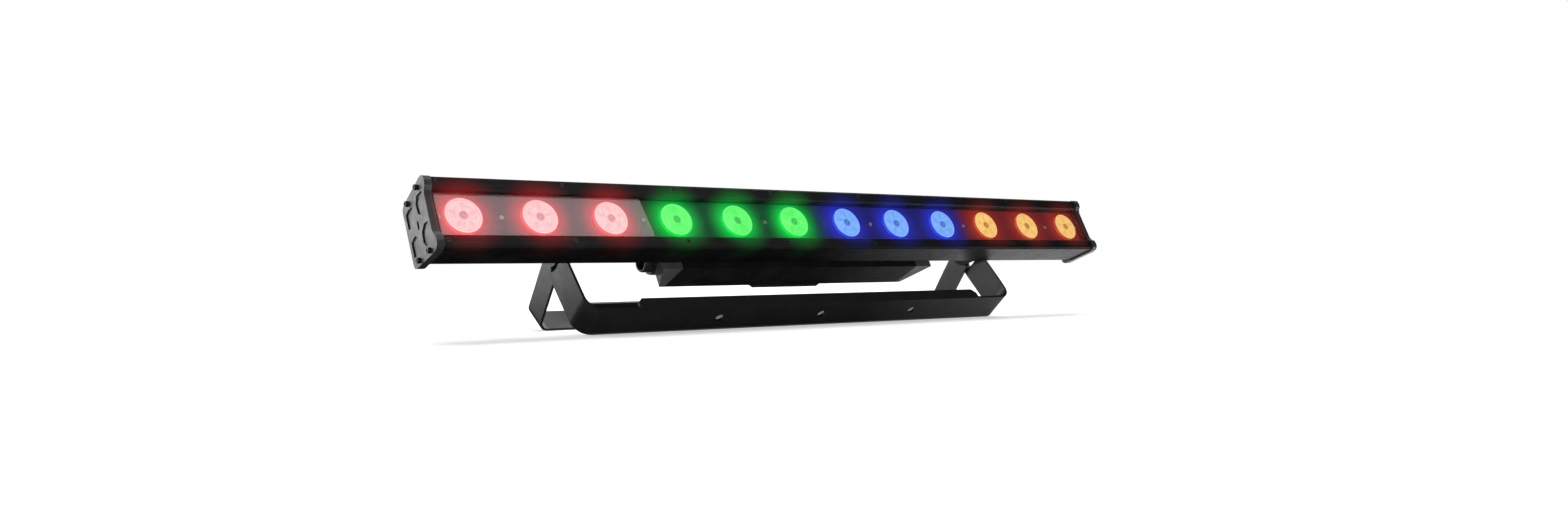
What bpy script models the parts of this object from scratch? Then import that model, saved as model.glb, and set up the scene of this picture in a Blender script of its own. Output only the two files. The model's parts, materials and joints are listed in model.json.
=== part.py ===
"""LED strip batten on a folding double bracket, modelled as separate parts.

Frame: metres, +Z up, +X along the batten.  The batten rests on the lower edges of its two
brackets at Z = 0, with the middle of its bounding box over the origin.  The lamp head and
both brackets turn on one axis along X, the pivot.  Inside the lamp head, positions are
given as a depth behind the plane of the lenses and a height above their centre line.
"""

import math

import bmesh
import bpy
from mathutils import Matrix, Vector

MM = 0.001
GAP = 0.3 * MM

# Lamp head
LED_COUNT = 12
LED_PITCH = 83.0 * MM
CAP_INNER_X = 486.75 * MM
CAP_THICKNESS = 8.0 * MM
PROFILE_HALF_LENGTH = 484.9 * MM
RAIL_HALF_LENGTH = 486.4 * MM
PIVOT_BEHIND_LENSES = 78.4 * MM
FRONT_HALF_HEIGHT = 39.5 * MM
BACK_HALF_HEIGHT = 33.9 * MM
BACK_DEPTH = 40.0 * MM
FIN_DEPTH = 46.0 * MM
FIN_HALF_THICKNESS = 1.2 * MM
FIN_PITCH = 8.5 * MM
FINS_EACH_SIDE = 3
WINDOW_HALF_HEIGHT = 25.0 * MM
LENS_RADIUS = 20.05 * MM
PLATE_HOLE_RADIUS = 19.5 * MM
RAIL_SCREW_PITCH = 137.3 * MM
RAIL_SCREW_COUNT = 8
TOP_RAIL_SCREW_HEIGHT = 34.6 * MM
BOTTOM_RAIL_SCREW_HEIGHT = -30.8 * MM
PLATE_SCREW_PLACES = (-0.3, 0.5, 2.5, 4.5, 6.5, 8.5, 10.5, 11.3)
CAP_SCREW_PLACES = ((8.0 * MM, 34.8 * MM), (35.0 * MM, 31.4 * MM))
TILT = math.radians(28.0)

# Driver box behind the lamp head
BOX_HALF_LENGTH = 183.0 * MM
BOX_HALF_HEIGHT = 37.5 * MM
BOX_FRONT = FIN_DEPTH + GAP
BOX_BACK = 92.0 * MM
BOX_WALL = 2.0 * MM
BOX_CAP_REACH = 210.0 * MM
BOX_CAP_REAR_REACH = 190.0 * MM
SOCKET_DEPTH = 69.0 * MM
SOCKET_HEIGHT = 17.5 * MM
SOCKET_RADIUS = 11.0 * MM
BOSS_X = 208.0 * MM
SOCKET_X = 222.0 * MM
BUSH_RADIUS = 8.0 * MM
BOX_SCREW_X = 150.0 * MM

# Control panel on the back of the driver box
PANEL_HALF_LENGTH = 55.0 * MM
PANEL_BACK = 100.0 * MM
PANEL_WALL = 2.0 * MM
BUTTON_RADIUS = 5.0 * MM
BUTTON_PITCH = 16.0 * MM
BUTTON_COUNT = 4
BUTTON_HEIGHT = -14.0 * MM
DISPLAY_HEIGHT = 11.0 * MM
DISPLAY_HALF = (20.0 * MM, 8.0 * MM)

# Brackets
STRIP = 3.0 * MM
PIVOT_HOLE_RADIUS = 4.3 * MM
BOLT_RADIUS = 4.0 * MM
BEND_RADIUS = 20.0 * MM
FRONT_HALF_SPAN = 326.0 * MM
FRONT_HALF_WIDTH = 20.0 * MM
FRONT_REACH = 101.4 * MM
FRONT_FLANGE = 15.4 * MM
FRONT_ANGLE = math.radians(43.4)
REAR_HALF_SPAN = 321.6 * MM
REAR_HALF_WIDTH = 16.5 * MM
REAR_REACH = 94.0 * MM
REAR_FLANGE = 13.5 * MM
REAR_BEND_RADIUS = 12.0 * MM
FLANGE_HALF_LENGTH = 262.0 * MM
BASE_HOLE_PITCH = 150.0 * MM
BASE_HOLE_RADIUS = 5.5 * MM
SLOT_RADIUS = 18.5 * MM
SLOT_HALF_WIDTH = 2.8 * MM
SLOT_FRONT_END = math.radians(41.5)
SLOT_REAR_END = math.radians(36.0)
PIN_RADIUS = 2.3 * MM
WASHER_RADIUS = 14.0 * MM
EAR_OUTER_X = 317.2 * MM
EAR_RADIUS = 18.0 * MM
EAR_SCREW_X = (291.0 * MM, 305.0 * MM)

BETWEEN_FINS = 1.5 * FIN_PITCH

# Where the pivot lies when the batten stands on its bracket edges
PIVOT_HEIGHT = FRONT_REACH * math.cos(FRONT_ANGLE) + FRONT_HALF_WIDTH * math.sin(FRONT_ANGLE)
PIVOT_Y = 14.7 * MM
REAR_CORNER = math.hypot(REAR_REACH, REAR_HALF_WIDTH)
REAR_ANGLE = math.atan2(REAR_HALF_WIDTH, REAR_REACH) + math.acos(PIVOT_HEIGHT / REAR_CORNER)

# The three directions a flat outline can be extruded along
ALONG_X = Matrix(((0, 0, 1, 0), (1, 0, 0, 0), (0, 1, 0, 0), (0, 0, 0, 1)))
ALONG_Y = Matrix(((1, 0, 0, 0), (0, 0, -1, 0), (0, 1, 0, 0), (0, 0, 0, 1)))
ALONG_Z = Matrix.Identity(4)


# ---------------------------------------------------------------- outlines

def circle(u, v, radius, segments=16):
    """Points of a circle, counter-clockwise."""
    step = 2 * math.pi / segments
    return [(u + radius * math.cos((i + 0.5) * step), v + radius * math.sin((i + 0.5) * step))
            for i in range(segments)]


def rectangle(u_low, u_high, v_low, v_high):
    """Points of a rectangle, counter-clockwise."""
    return [(u_low, v_low), (u_high, v_low), (u_high, v_high), (u_low, v_high)]


def arc(u, v, radius, start, end, segments):
    """Points along an arc from one angle to another, both ends included."""
    return [(u + radius * math.cos(start + (end - start) * i / segments),
             v + radius * math.sin(start + (end - start) * i / segments))
            for i in range(segments + 1)]


def mirrored(points):
    """The points followed by their mirror image below the centre line, as one loop."""
    return points + [(u, -v) for u, v in reversed(points)]


def in_head(points):
    """Depth and height pairs turned into Y and Z, with the pivot as the origin."""
    return [(depth - PIVOT_BEHIND_LENSES, height) for depth, height in points]


def depth_y(depth):
    """The Y of a depth behind the lens plane, with the pivot as the origin."""
    return depth - PIVOT_BEHIND_LENSES


# ---------------------------------------------------------------- solids

def prism(direction, loops, start, end):
    """A closed solid: flat loops, the outer one first, extruded from start to end."""
    curve = bpy.data.curves.new("outline", "CURVE")
    curve.dimensions = "2D"
    curve.fill_mode = "BOTH"
    curve.extrude = 0.5
    for loop in loops:
        spline = curve.splines.new("POLY")
        spline.points.add(len(loop) - 1)
        for point, (u, v) in zip(spline.points, loop):
            point.co = (u / MM, v / MM, 0.0, 1.0)
        spline.use_cyclic_u = True
    source = bpy.data.objects.new("outline", curve)
    bpy.context.scene.collection.objects.link(source)
    graph = bpy.context.evaluated_depsgraph_get()
    mesh = bpy.data.meshes.new_from_object(source.evaluated_get(graph))
    bpy.data.objects.remove(source)
    bpy.data.curves.remove(curve)
    stretch = Matrix.Diagonal((MM, MM, end - start, 1.0))
    lift = Matrix.Translation((0.0, 0.0, (start + end) / 2))
    if direction == ALONG_Y:
        lift = Matrix.Translation((0.0, 0.0, -(start + end) / 2))
    mesh.transform(direction @ lift @ stretch)
    return tidy(mesh)


def tidy(mesh):
    """Merge the doubled points of a mesh and turn its faces outwards."""
    work = bmesh.new()
    work.from_mesh(mesh)
    bmesh.ops.remove_doubles(work, verts=work.verts, dist=0.00001)
    bmesh.ops.recalc_face_normals(work, faces=work.faces)
    work.to_mesh(mesh)
    work.free()
    return mesh


def turned(profile, segments=12):
    """A closed solid turned about the Y axis from radius and Y pairs, axis to axis."""
    work = bmesh.new()
    points = [work.verts.new((radius, y, 0.0)) for radius, y in profile]
    edges = [work.edges.new(pair) for pair in zip(points, points[1:])]
    bmesh.ops.spin(work, geom=points + edges, angle=2 * math.pi, steps=segments,
                   axis=(0, 1, 0), cent=(0, 0, 0), use_merge=True)
    bmesh.ops.remove_doubles(work, verts=work.verts, dist=0.00001)
    bmesh.ops.recalc_face_normals(work, faces=work.faces)
    mesh = bpy.data.meshes.new("turned")
    work.to_mesh(mesh)
    work.free()
    return mesh


def moved(mesh, x=0.0, y=0.0, z=0.0):
    """A copy of a mesh, moved."""
    copy = mesh.copy()
    copy.transform(Matrix.Translation((x, y, z)))
    return copy


def turned_to_x(mesh, side):
    """A copy of a solid turned about Y, laid along X with its front facing outwards."""
    copy = mesh.copy()
    copy.transform(Matrix.Rotation(math.radians(90.0) * side, 4, "Z"))
    return copy


def together(meshes):
    """One mesh that holds several separate solids."""
    work = bmesh.new()
    for mesh in meshes:
        work.from_mesh(mesh)
    whole = bpy.data.meshes.new("group")
    work.to_mesh(whole)
    work.free()
    return whole


def combine(base, tool, operation):
    """The exact Boolean of two meshes."""
    first = bpy.data.objects.new("base", base)
    second = bpy.data.objects.new("tool", tool)
    for item in (first, second):
        bpy.context.scene.collection.objects.link(item)
    modifier = first.modifiers.new("combine", "BOOLEAN")
    modifier.operation = operation
    modifier.solver = "EXACT"
    modifier.object = second
    graph = bpy.context.evaluated_depsgraph_get()
    result = bpy.data.meshes.new_from_object(first.evaluated_get(graph))
    bpy.data.objects.remove(first)
    bpy.data.objects.remove(second)
    return tidy(result)


def cut(base, *tools):
    """The base with every tool cut out of it."""
    return combine(base, together(tools), "DIFFERENCE")


def fuse(base, *extras):
    """The base joined with each of the other solids."""
    for extra in extras:
        base = combine(base, extra, "UNION")
    return base


# ---------------------------------------------------------------- nodes

def finish_of(name, colour, roughness, metallic):
    """A material with the part's colour, roughness and metallic value."""
    material = bpy.data.materials.new(name)
    material.use_nodes = True
    shader = material.node_tree.nodes["Principled BSDF"]
    shader.inputs["Base Color"].default_value = (*colour, 1.0)
    shader.inputs["Roughness"].default_value = roughness
    shader.inputs["Metallic"].default_value = metallic
    return material


def axis_empty(name, angle):
    """An empty on the pivot axis, turned about it by the angle."""
    empty = bpy.data.objects.new(name, None)
    empty.location = (0.0, PIVOT_Y, PIVOT_HEIGHT)
    empty.rotation_euler = (angle, 0.0, 0.0)
    bpy.context.scene.collection.objects.link(empty)
    return empty


def add_part(name, mesh, parent, finish, place=(0.0, 0.0, 0.0), smooth=False):
    """One named sub-part under its parent empty."""
    part = bpy.data.objects.new(name, mesh)
    bpy.context.scene.collection.objects.link(part)
    part.parent = parent
    part.location = place
    mesh.materials.append(finish_of(name, *finish))
    if smooth:
        mesh.shade_smooth()
        mesh.set_sharp_from_angle(angle=math.radians(35.0))
    return part


COATED = ((0.035, 0.035, 0.036), 0.55, 0.0)
CAST = ((0.055, 0.055, 0.055), 0.6, 0.0)
STEEL = ((0.02, 0.02, 0.02), 0.35, 0.8)
RUBBER = ((0.02, 0.02, 0.02), 0.8, 0.0)
BOARD = ((0.03, 0.09, 0.05), 0.5, 0.0)
PLASTIC = ((0.02, 0.02, 0.02), 0.45, 0.0)
CLEAR = ((0.9, 0.9, 0.9), 0.05, 0.0)
LENS_TINTS = ((0.9, 0.25, 0.25), (0.2, 0.9, 0.25), (0.2, 0.4, 0.95), (0.95, 0.65, 0.2))


def led_x(index):
    """The X of a place along the row of LEDs, counted from the first one."""
    return (index - (LED_COUNT - 1) / 2) * LED_PITCH


def rail_screw_xs():
    """The X of each clamp rail screw."""
    middle = (RAIL_SCREW_COUNT - 1) / 2
    return [(i - middle) * RAIL_SCREW_PITCH for i in range(RAIL_SCREW_COUNT)]


def screw(head_radius, head_height, shaft_radius, shaft_length, segments=10):
    """A screw along Y, its head in front of the origin and its shaft behind it."""
    return turned([(0.0, -head_height), (head_radius, -head_height), (head_radius, 0.0),
                   (shaft_radius, 0.0), (shaft_radius, shaft_length), (0.0, shaft_length)],
                  segments)


# ---------------------------------------------------------------- lamp head

def profile_outline():
    """The outside of the housing profile: an open channel in front, cooling fins behind."""
    half = [(18.0, 33.5), (11.0, 34.2), (11.0, 22.5), (7.1, 22.5), (7.1, 25.0), (3.2, 25.0),
            (3.2, 28.0), (-2.0, 28.0), (-2.0, 38.2), (-6.2, 38.2), (-6.2, 39.0), (-5.4, 39.5)]
    half = [(depth * MM, height * MM) for depth, height in half]
    half += [(BACK_DEPTH - 2.0 * MM, BACK_HALF_HEIGHT),
             (BACK_DEPTH, BACK_HALF_HEIGHT - 1.5 * MM)]
    for index in range(FINS_EACH_SIDE, -1, -1):
        height = index * FIN_PITCH
        half += [(BACK_DEPTH, height + FIN_HALF_THICKNESS),
                 (FIN_DEPTH, height + FIN_HALF_THICKNESS)]
        if index:
            half += [(FIN_DEPTH, height - FIN_HALF_THICKNESS),
                     (BACK_DEPTH, height - FIN_HALF_THICKNESS)]
    return in_head(mirrored(half))


def wire_chamber_outline():
    """The closed chamber behind the LED board, with room for the corner screws."""
    half = [(21.0, 33.2), (30.0, 32.0), (30.0, 28.5), (37.3, 28.5)]
    return in_head(mirrored([(depth * MM, height * MM) for depth, height in half]))


def back_wall_screw_places():
    """X and height of each screw that holds an ear or the driver box to the profile."""
    xs = [side * x for side in (-1, 1) for x in (*EAR_SCREW_X, BOX_SCREW_X)]
    return [(x, side * BETWEEN_FINS) for x in xs for side in (-1, 1)]


def make_housing(head):
    """The long aluminium profile that everything in the lamp head is fixed to."""
    body = prism(ALONG_X, [profile_outline(), wire_chamber_outline()],
                 -PROFILE_HALF_LENGTH, PROFILE_HALF_LENGTH)
    tools = []
    for x in rail_screw_xs():
        for height in (TOP_RAIL_SCREW_HEIGHT, BOTTOM_RAIL_SCREW_HEIGHT):
            tools.append(prism(ALONG_Y, [circle(x, height, 1.5 * MM, 8)],
                               depth_y(-8.0 * MM), depth_y(4.2 * MM)))
    for x, height in back_wall_screw_places():
        tools.append(prism(ALONG_Y, [circle(x, height, 2.0 * MM, 8)],
                           depth_y(35.0 * MM), depth_y(48.0 * MM)))
    for side in (-1, 1):
        for depth, height in CAP_SCREW_PLACES:
            for sign in (-1, 1):
                outline = in_head(circle(depth, sign * height, 1.5 * MM, 8))
                ends = sorted((side * 474.0 * MM, side * 490.0 * MM))
                tools.append(prism(ALONG_X, [outline], *ends))
    tools.append(prism(ALONG_Y, [circle(0.0, 0.0, BUSH_RADIUS + GAP)],
                       depth_y(35.0 * MM), depth_y(48.0 * MM)))
    add_part("housing_profile", cut(body, *tools), head, COATED)


def make_rails(head):
    """The two rails that clamp the front glass, with the stepped holes for their screws."""
    half = [(-2.3, 25.0), (-5.6, 25.0), (-7.0, 26.2), (-7.0, 37.1), (-6.2, 37.9), (-2.3, 37.9)]
    top = [(depth * MM, height * MM) for depth, height in half]
    bottom = [(depth, -height) for depth, height in reversed(top)]
    for name, outline, height in (("clamp_rail_top", top, TOP_RAIL_SCREW_HEIGHT),
                                  ("clamp_rail_bottom", bottom, BOTTOM_RAIL_SCREW_HEIGHT)):
        rail = prism(ALONG_X, [in_head(outline)], -RAIL_HALF_LENGTH, RAIL_HALF_LENGTH)
        tools = []
        for x in rail_screw_xs():
            tools.append(prism(ALONG_Y, [circle(x, height, 1.5 * MM, 8)],
                               depth_y(-9.0 * MM), depth_y(0.0)))
        rail = cut(rail, *tools)
        seats = [prism(ALONG_Y, [circle(x, height, 2.8 * MM + GAP, 8)],
                       depth_y(-9.0 * MM), depth_y(-5.0 * MM)) for x in rail_screw_xs()]
        add_part(name, cut(rail, *seats), head, COATED)


def make_front_glass(head):
    """The clear front window and the seal behind its edge."""
    glass = [rectangle(-RAIL_HALF_LENGTH + 1.8 * MM, RAIL_HALF_LENGTH - 1.8 * MM,
                       -27.5 * MM, 27.5 * MM)]
    add_part("front_glass", prism(ALONG_Y, glass, depth_y(-2.0 * MM), depth_y(0.8 * MM)),
             head, CLEAR)
    ring = [rectangle(-484.4 * MM, 484.4 * MM, -27.6 * MM, 27.6 * MM),
            rectangle(-482.0 * MM, 482.0 * MM, -25.4 * MM, 25.4 * MM)]
    add_part("glass_seal", prism(ALONG_Y, ring, depth_y(1.1 * MM), depth_y(2.9 * MM)),
             head, RUBBER)


def make_optics(head):
    """The lens plate with its pressed-in standoffs, the twelve lenses and the LED board."""
    holes = [circle(led_x(i), 0.0, PLATE_HOLE_RADIUS, 16) for i in range(LED_COUNT)]
    plate = [rectangle(-484.0 * MM, 484.0 * MM, -24.6 * MM, 24.6 * MM)] + holes
    solid = prism(ALONG_Y, plate, depth_y(5.3 * MM), depth_y(6.8 * MM))
    post = prism(ALONG_Y, [circle(0.0, 0.0, 3.2 * MM, 6)], depth_y(6.0 * MM),
                 depth_y(16.0 * MM))
    bore = prism(ALONG_Y, [circle(0.0, 0.0, 1.5 * MM, 8)], depth_y(4.0 * MM),
                 depth_y(17.0 * MM))
    solid = fuse(solid, together([moved(post, led_x(i)) for i in PLATE_SCREW_PLACES]))
    solid = cut(solid, *[moved(bore, led_x(i)) for i in PLATE_SCREW_PLACES])
    add_part("lens_plate", solid, head, COATED)

    front_y = depth_y(1.2 * MM)
    profile = [(0.0, front_y), (LENS_RADIUS * 0.6, front_y + 0.15 * MM),
               (LENS_RADIUS * 0.93, front_y + 0.6 * MM), (LENS_RADIUS, front_y + 1.6 * MM),
               (LENS_RADIUS, depth_y(5.0 * MM)), (18.6 * MM, depth_y(5.0 * MM)),
               (8.5 * MM, depth_y(14.5 * MM)), (0.0, depth_y(14.5 * MM))]
    for index in range(LED_COUNT):
        tint = LENS_TINTS[index * len(LENS_TINTS) // LED_COUNT]
        add_part(f"lens_{index + 1:02d}", turned(profile, 16), head, (tint, 0.1, 0.0),
                 (led_x(index), 0.0, 0.0), smooth=True)

    sheet = prism(ALONG_Y, [rectangle(-482.0 * MM, 482.0 * MM, -22.0 * MM, 22.0 * MM)],
                  depth_y(16.3 * MM), depth_y(17.7 * MM))
    chip = prism(ALONG_Y, [rectangle(-2.7 * MM, 2.7 * MM, -2.7 * MM, 2.7 * MM)],
                 depth_y(14.9 * MM), depth_y(17.0 * MM))
    board = fuse(sheet, together([moved(chip, led_x(i)) for i in range(LED_COUNT)]))
    add_part("led_board", board, head, ((0.7, 0.7, 0.68), 0.5, 0.0))


def cap_outline():
    """The outline of an end cap: a plate with a thick lobe at each front corner."""
    half = [(-4.6, 20.0), (-6.4, 24.5), (-9.6, 27.6), (-10.6, 33.0), (-9.4, 37.6),
            (-5.6, 40.4), (0.0, 41.0), (44.0, 35.7), (48.6, 33.8), (50.4, 30.2)]
    return in_head(mirrored([(depth * MM, height * MM) for depth, height in half]))


def cap_pockets():
    """The four shallow pockets in an end cap's face, which leave a crossed rib."""
    front = [(0.0, 7.0), (9.0, 5.0), (17.0, 10.0), (18.5, 21.0), (12.5, 28.0), (0.0, 26.5)]
    rear = [(45.0, 7.0), (45.0, 23.5), (38.0, 25.5), (27.5, 24.0), (25.5, 12.0), (34.0, 5.0)]
    pockets = []
    for outline in (front, rear):
        points = [(depth * MM, height * MM) for depth, height in outline]
        pockets.append(in_head(points))
        pockets.append(in_head([(depth, -height) for depth, height in points]))
    slot = (arc(22.0 * MM, 2.8 * MM, 2.0 * MM, 0.0, math.pi, 6)
            + arc(22.0 * MM, -2.8 * MM, 2.0 * MM, math.pi, 2 * math.pi, 6))
    return pockets + [in_head(slot)]


def cap_fixings():
    """Depth and height of the four screws of an end cap."""
    return [(depth, sign * height) for depth, height in CAP_SCREW_PLACES for sign in (-1, 1)]


def make_end_caps(head):
    """The cast end caps, their seals and their screws."""
    outer_x = CAP_INNER_X + CAP_THICKNESS
    fixing = screw(3.0 * MM, 3.0 * MM, 1.2 * MM, 18.0 * MM)
    seal_outside = in_head(mirrored([(-1.7 * MM, 38.0 * MM), (45.7 * MM, 32.0 * MM)]))
    seal_inside = in_head(mirrored([(11.5 * MM, 31.0 * MM), (29.0 * MM, 29.0 * MM),
                                    (29.0 * MM, 25.5 * MM), (37.0 * MM, 25.5 * MM)]))
    for name, side in (("left", -1), ("right", 1)):
        holes = [in_head(circle(d, h, 1.5 * MM, 8)) for d, h in cap_fixings()]
        ends = sorted((side * CAP_INNER_X, side * outer_x))
        cap = prism(ALONG_X, [cap_outline()] + holes, *ends)
        pocket_ends = sorted((side * (outer_x - 1.4 * MM), side * (outer_x + 2.0 * MM)))
        pockets = [prism(ALONG_X, [loop], *pocket_ends) for loop in cap_pockets()]
        add_part(f"end_cap_{name}", cut(cap, *pockets), head, CAST)
        seal_ends = sorted((side * 485.2 * MM, side * 486.45 * MM))
        seal = prism(ALONG_X, [seal_outside, seal_inside] + holes, *seal_ends)
        add_part(f"end_seal_{name}", seal, head, RUBBER)
        laid = turned_to_x(fixing, side)
        for index, (depth, height) in enumerate(cap_fixings()):
            add_part(f"cap_screw_{name}_{index + 1}", laid.copy(), head, STEEL,
                     (side * (outer_x + GAP), depth_y(depth), height))


# ---------------------------------------------------------------- driver box

def make_driver_box(head):
    """The box behind the profile that holds the power supply, with its end castings."""
    outside = in_head(rectangle(BOX_FRONT, BOX_BACK, -BOX_HALF_HEIGHT, BOX_HALF_HEIGHT))
    inside = in_head(rectangle(BOX_FRONT + BOX_WALL, BOX_BACK - BOX_WALL,
                               -BOX_HALF_HEIGHT + BOX_WALL, BOX_HALF_HEIGHT - BOX_WALL))
    shell = prism(ALONG_X, [outside, inside], -BOX_HALF_LENGTH, BOX_HALF_LENGTH)
    front_ends = (depth_y(BOX_FRONT - 2.0 * MM), depth_y(BOX_FRONT + 4.0 * MM))
    tools = [prism(ALONG_Y, [circle(0.0, 0.0, BUSH_RADIUS + GAP)], *front_ends)]
    for side in (-1, 1):
        for height in (-BETWEEN_FINS, BETWEEN_FINS):
            tools.append(prism(ALONG_Y, [circle(side * BOX_SCREW_X, height, 2.0 * MM, 8)],
                               *front_ends))
    back_ends = (depth_y(BOX_BACK - 4.0 * MM), depth_y(BOX_BACK + 2.0 * MM))
    tools.append(prism(ALONG_Y, [rectangle(-46.0 * MM, 46.0 * MM, -29.0 * MM, 29.0 * MM)],
                       *back_ends))
    tools.append(prism(ALONG_Y, [circle(120.0 * MM, 0.0, 3.6 * MM, 8)], *back_ends))
    add_part("driver_shell", cut(shell, *tools), head, COATED)

    bush = [circle(0.0, 0.0, BUSH_RADIUS), circle(0.0, 0.0, 5.0 * MM)]
    add_part("wire_bush", prism(ALONG_Y, bush, depth_y(36.0 * MM), depth_y(51.0 * MM)),
             head, RUBBER)
    vent = turned([(0.0, -4.0 * MM), (6.0 * MM, -4.0 * MM), (7.0 * MM, -3.0 * MM),
                   (7.0 * MM, 0.0), (3.3 * MM, 0.0), (3.3 * MM, 3.5 * MM), (0.0, 3.5 * MM)], 12)
    vent.transform(Matrix.Rotation(math.pi, 4, "Z"))
    add_part("breather_vent", moved(vent, 120.0 * MM, depth_y(BOX_BACK + GAP)), head, PLASTIC)


def box_cap(side):
    """One slanted end casting of the driver box, hollow towards the box, with two bosses."""
    joint = BOX_HALF_LENGTH + GAP
    wall = 3.0 * MM
    plan = [(joint, depth_y(BOX_FRONT)), (BOX_CAP_REACH, depth_y(BOX_FRONT)),
            (BOX_CAP_REAR_REACH, depth_y(BOX_BACK)), (joint, depth_y(BOX_BACK))]
    hollow = [(joint - 5.0 * MM, depth_y(BOX_FRONT) + wall),
              (BOX_CAP_REACH - wall * 1.6, depth_y(BOX_FRONT) + wall),
              (BOX_CAP_REAR_REACH - wall * 1.2, depth_y(BOX_BACK) - wall),
              (joint - 5.0 * MM, depth_y(BOX_BACK) - wall)]
    if side < 0:
        plan = [(-x, y) for x, y in reversed(plan)]
        hollow = [(-x, y) for x, y in reversed(hollow)]
    casting = prism(ALONG_Z, [plan], -BOX_HALF_HEIGHT, BOX_HALF_HEIGHT)
    centres = [(SOCKET_DEPTH, sign * SOCKET_HEIGHT) for sign in (-1, 1)]
    boss_ends = sorted((side * (joint + 4.0 * MM), side * BOSS_X))
    for depth, height in centres:
        boss = prism(ALONG_X, [in_head(circle(depth, height, SOCKET_RADIUS + 3.5 * MM, 16))],
                     *boss_ends)
        casting = fuse(casting, boss)
    casting = cut(casting, prism(ALONG_Z, [hollow], -BOX_HALF_HEIGHT + wall,
                                 BOX_HALF_HEIGHT - wall))
    bore_ends = sorted((side * (joint - 8.0 * MM), side * (BOSS_X + 5.0 * MM)))
    bores = [prism(ALONG_X, [in_head(circle(depth, height, SOCKET_RADIUS + GAP + 0.2 * MM, 16))],
                   *bore_ends) for depth, height in centres]
    return cut(casting, *bores)


def socket(side, height):
    """A round panel connector along X with a flange and an open mouth."""
    inner = 188.0 * MM
    floor = 210.0 * MM
    flange_x = BOSS_X + GAP
    bore = in_head(circle(SOCKET_DEPTH, height, 8.6 * MM, 12))
    body = prism(ALONG_X, [in_head(circle(SOCKET_DEPTH, height, SOCKET_RADIUS, 16))],
                 *sorted((side * inner, side * SOCKET_X)))
    flange = prism(ALONG_X, [in_head(circle(SOCKET_DEPTH, height, 14.0 * MM, 16))],
                   *sorted((side * flange_x, side * (flange_x + 2.2 * MM))))
    mouth = prism(ALONG_X, [bore], *sorted((side * floor, side * (SOCKET_X + 2.0 * MM))))
    return cut(fuse(body, flange), mouth)


def make_box_ends(head):
    """The end castings and the four connectors of the driver box."""
    add_part("driver_cap_left", box_cap(-1), head, CAST)
    add_part("driver_cap_right", box_cap(1), head, CAST)
    add_part("power_inlet", socket(-1, -SOCKET_HEIGHT), head, PLASTIC)
    add_part("data_input", socket(-1, SOCKET_HEIGHT), head, PLASTIC)
    add_part("power_outlet", socket(1, -SOCKET_HEIGHT), head, PLASTIC)
    add_part("data_output", socket(1, SOCKET_HEIGHT), head, PLASTIC)


def make_driver_board(head):
    """The power supply board with its transformer, capacitors and heat sink."""
    low = depth_y(55.0 * MM)
    high = depth_y(56.6 * MM)
    board = prism(ALONG_Y, [rectangle(-160.0 * MM, 160.0 * MM, -31.0 * MM, 31.0 * MM)],
                  low, high)
    solids = []
    base = high - 0.5 * MM
    for x_low, x_high, z_low, z_high, tall in (
            (-40.0, 0.0, -20.0, 18.0, 26.0), (60.0, 130.0, -26.0, -20.0, 24.0),
            (-140.0, -120.0, -22.0, 22.0, 14.0), (10.0, 40.0, -8.0, 24.0, 18.0)):
        solids.append(prism(ALONG_Y, [rectangle(x_low * MM, x_high * MM, z_low * MM,
                                                z_high * MM)], base, base + tall * MM))
    for x in (-100.0, -76.0, 60.0, 84.0):
        solids.append(prism(ALONG_Y, [circle(x * MM, 6.0 * MM, 9.0 * MM, 12)],
                            base, base + 24.0 * MM))
    add_part("driver_board", fuse(board, *solids), head, BOARD)


def button_xs():
    """The X of each menu button."""
    return [(i - (BUTTON_COUNT - 1) / 2) * BUTTON_PITCH for i in range(BUTTON_COUNT)]


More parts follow.
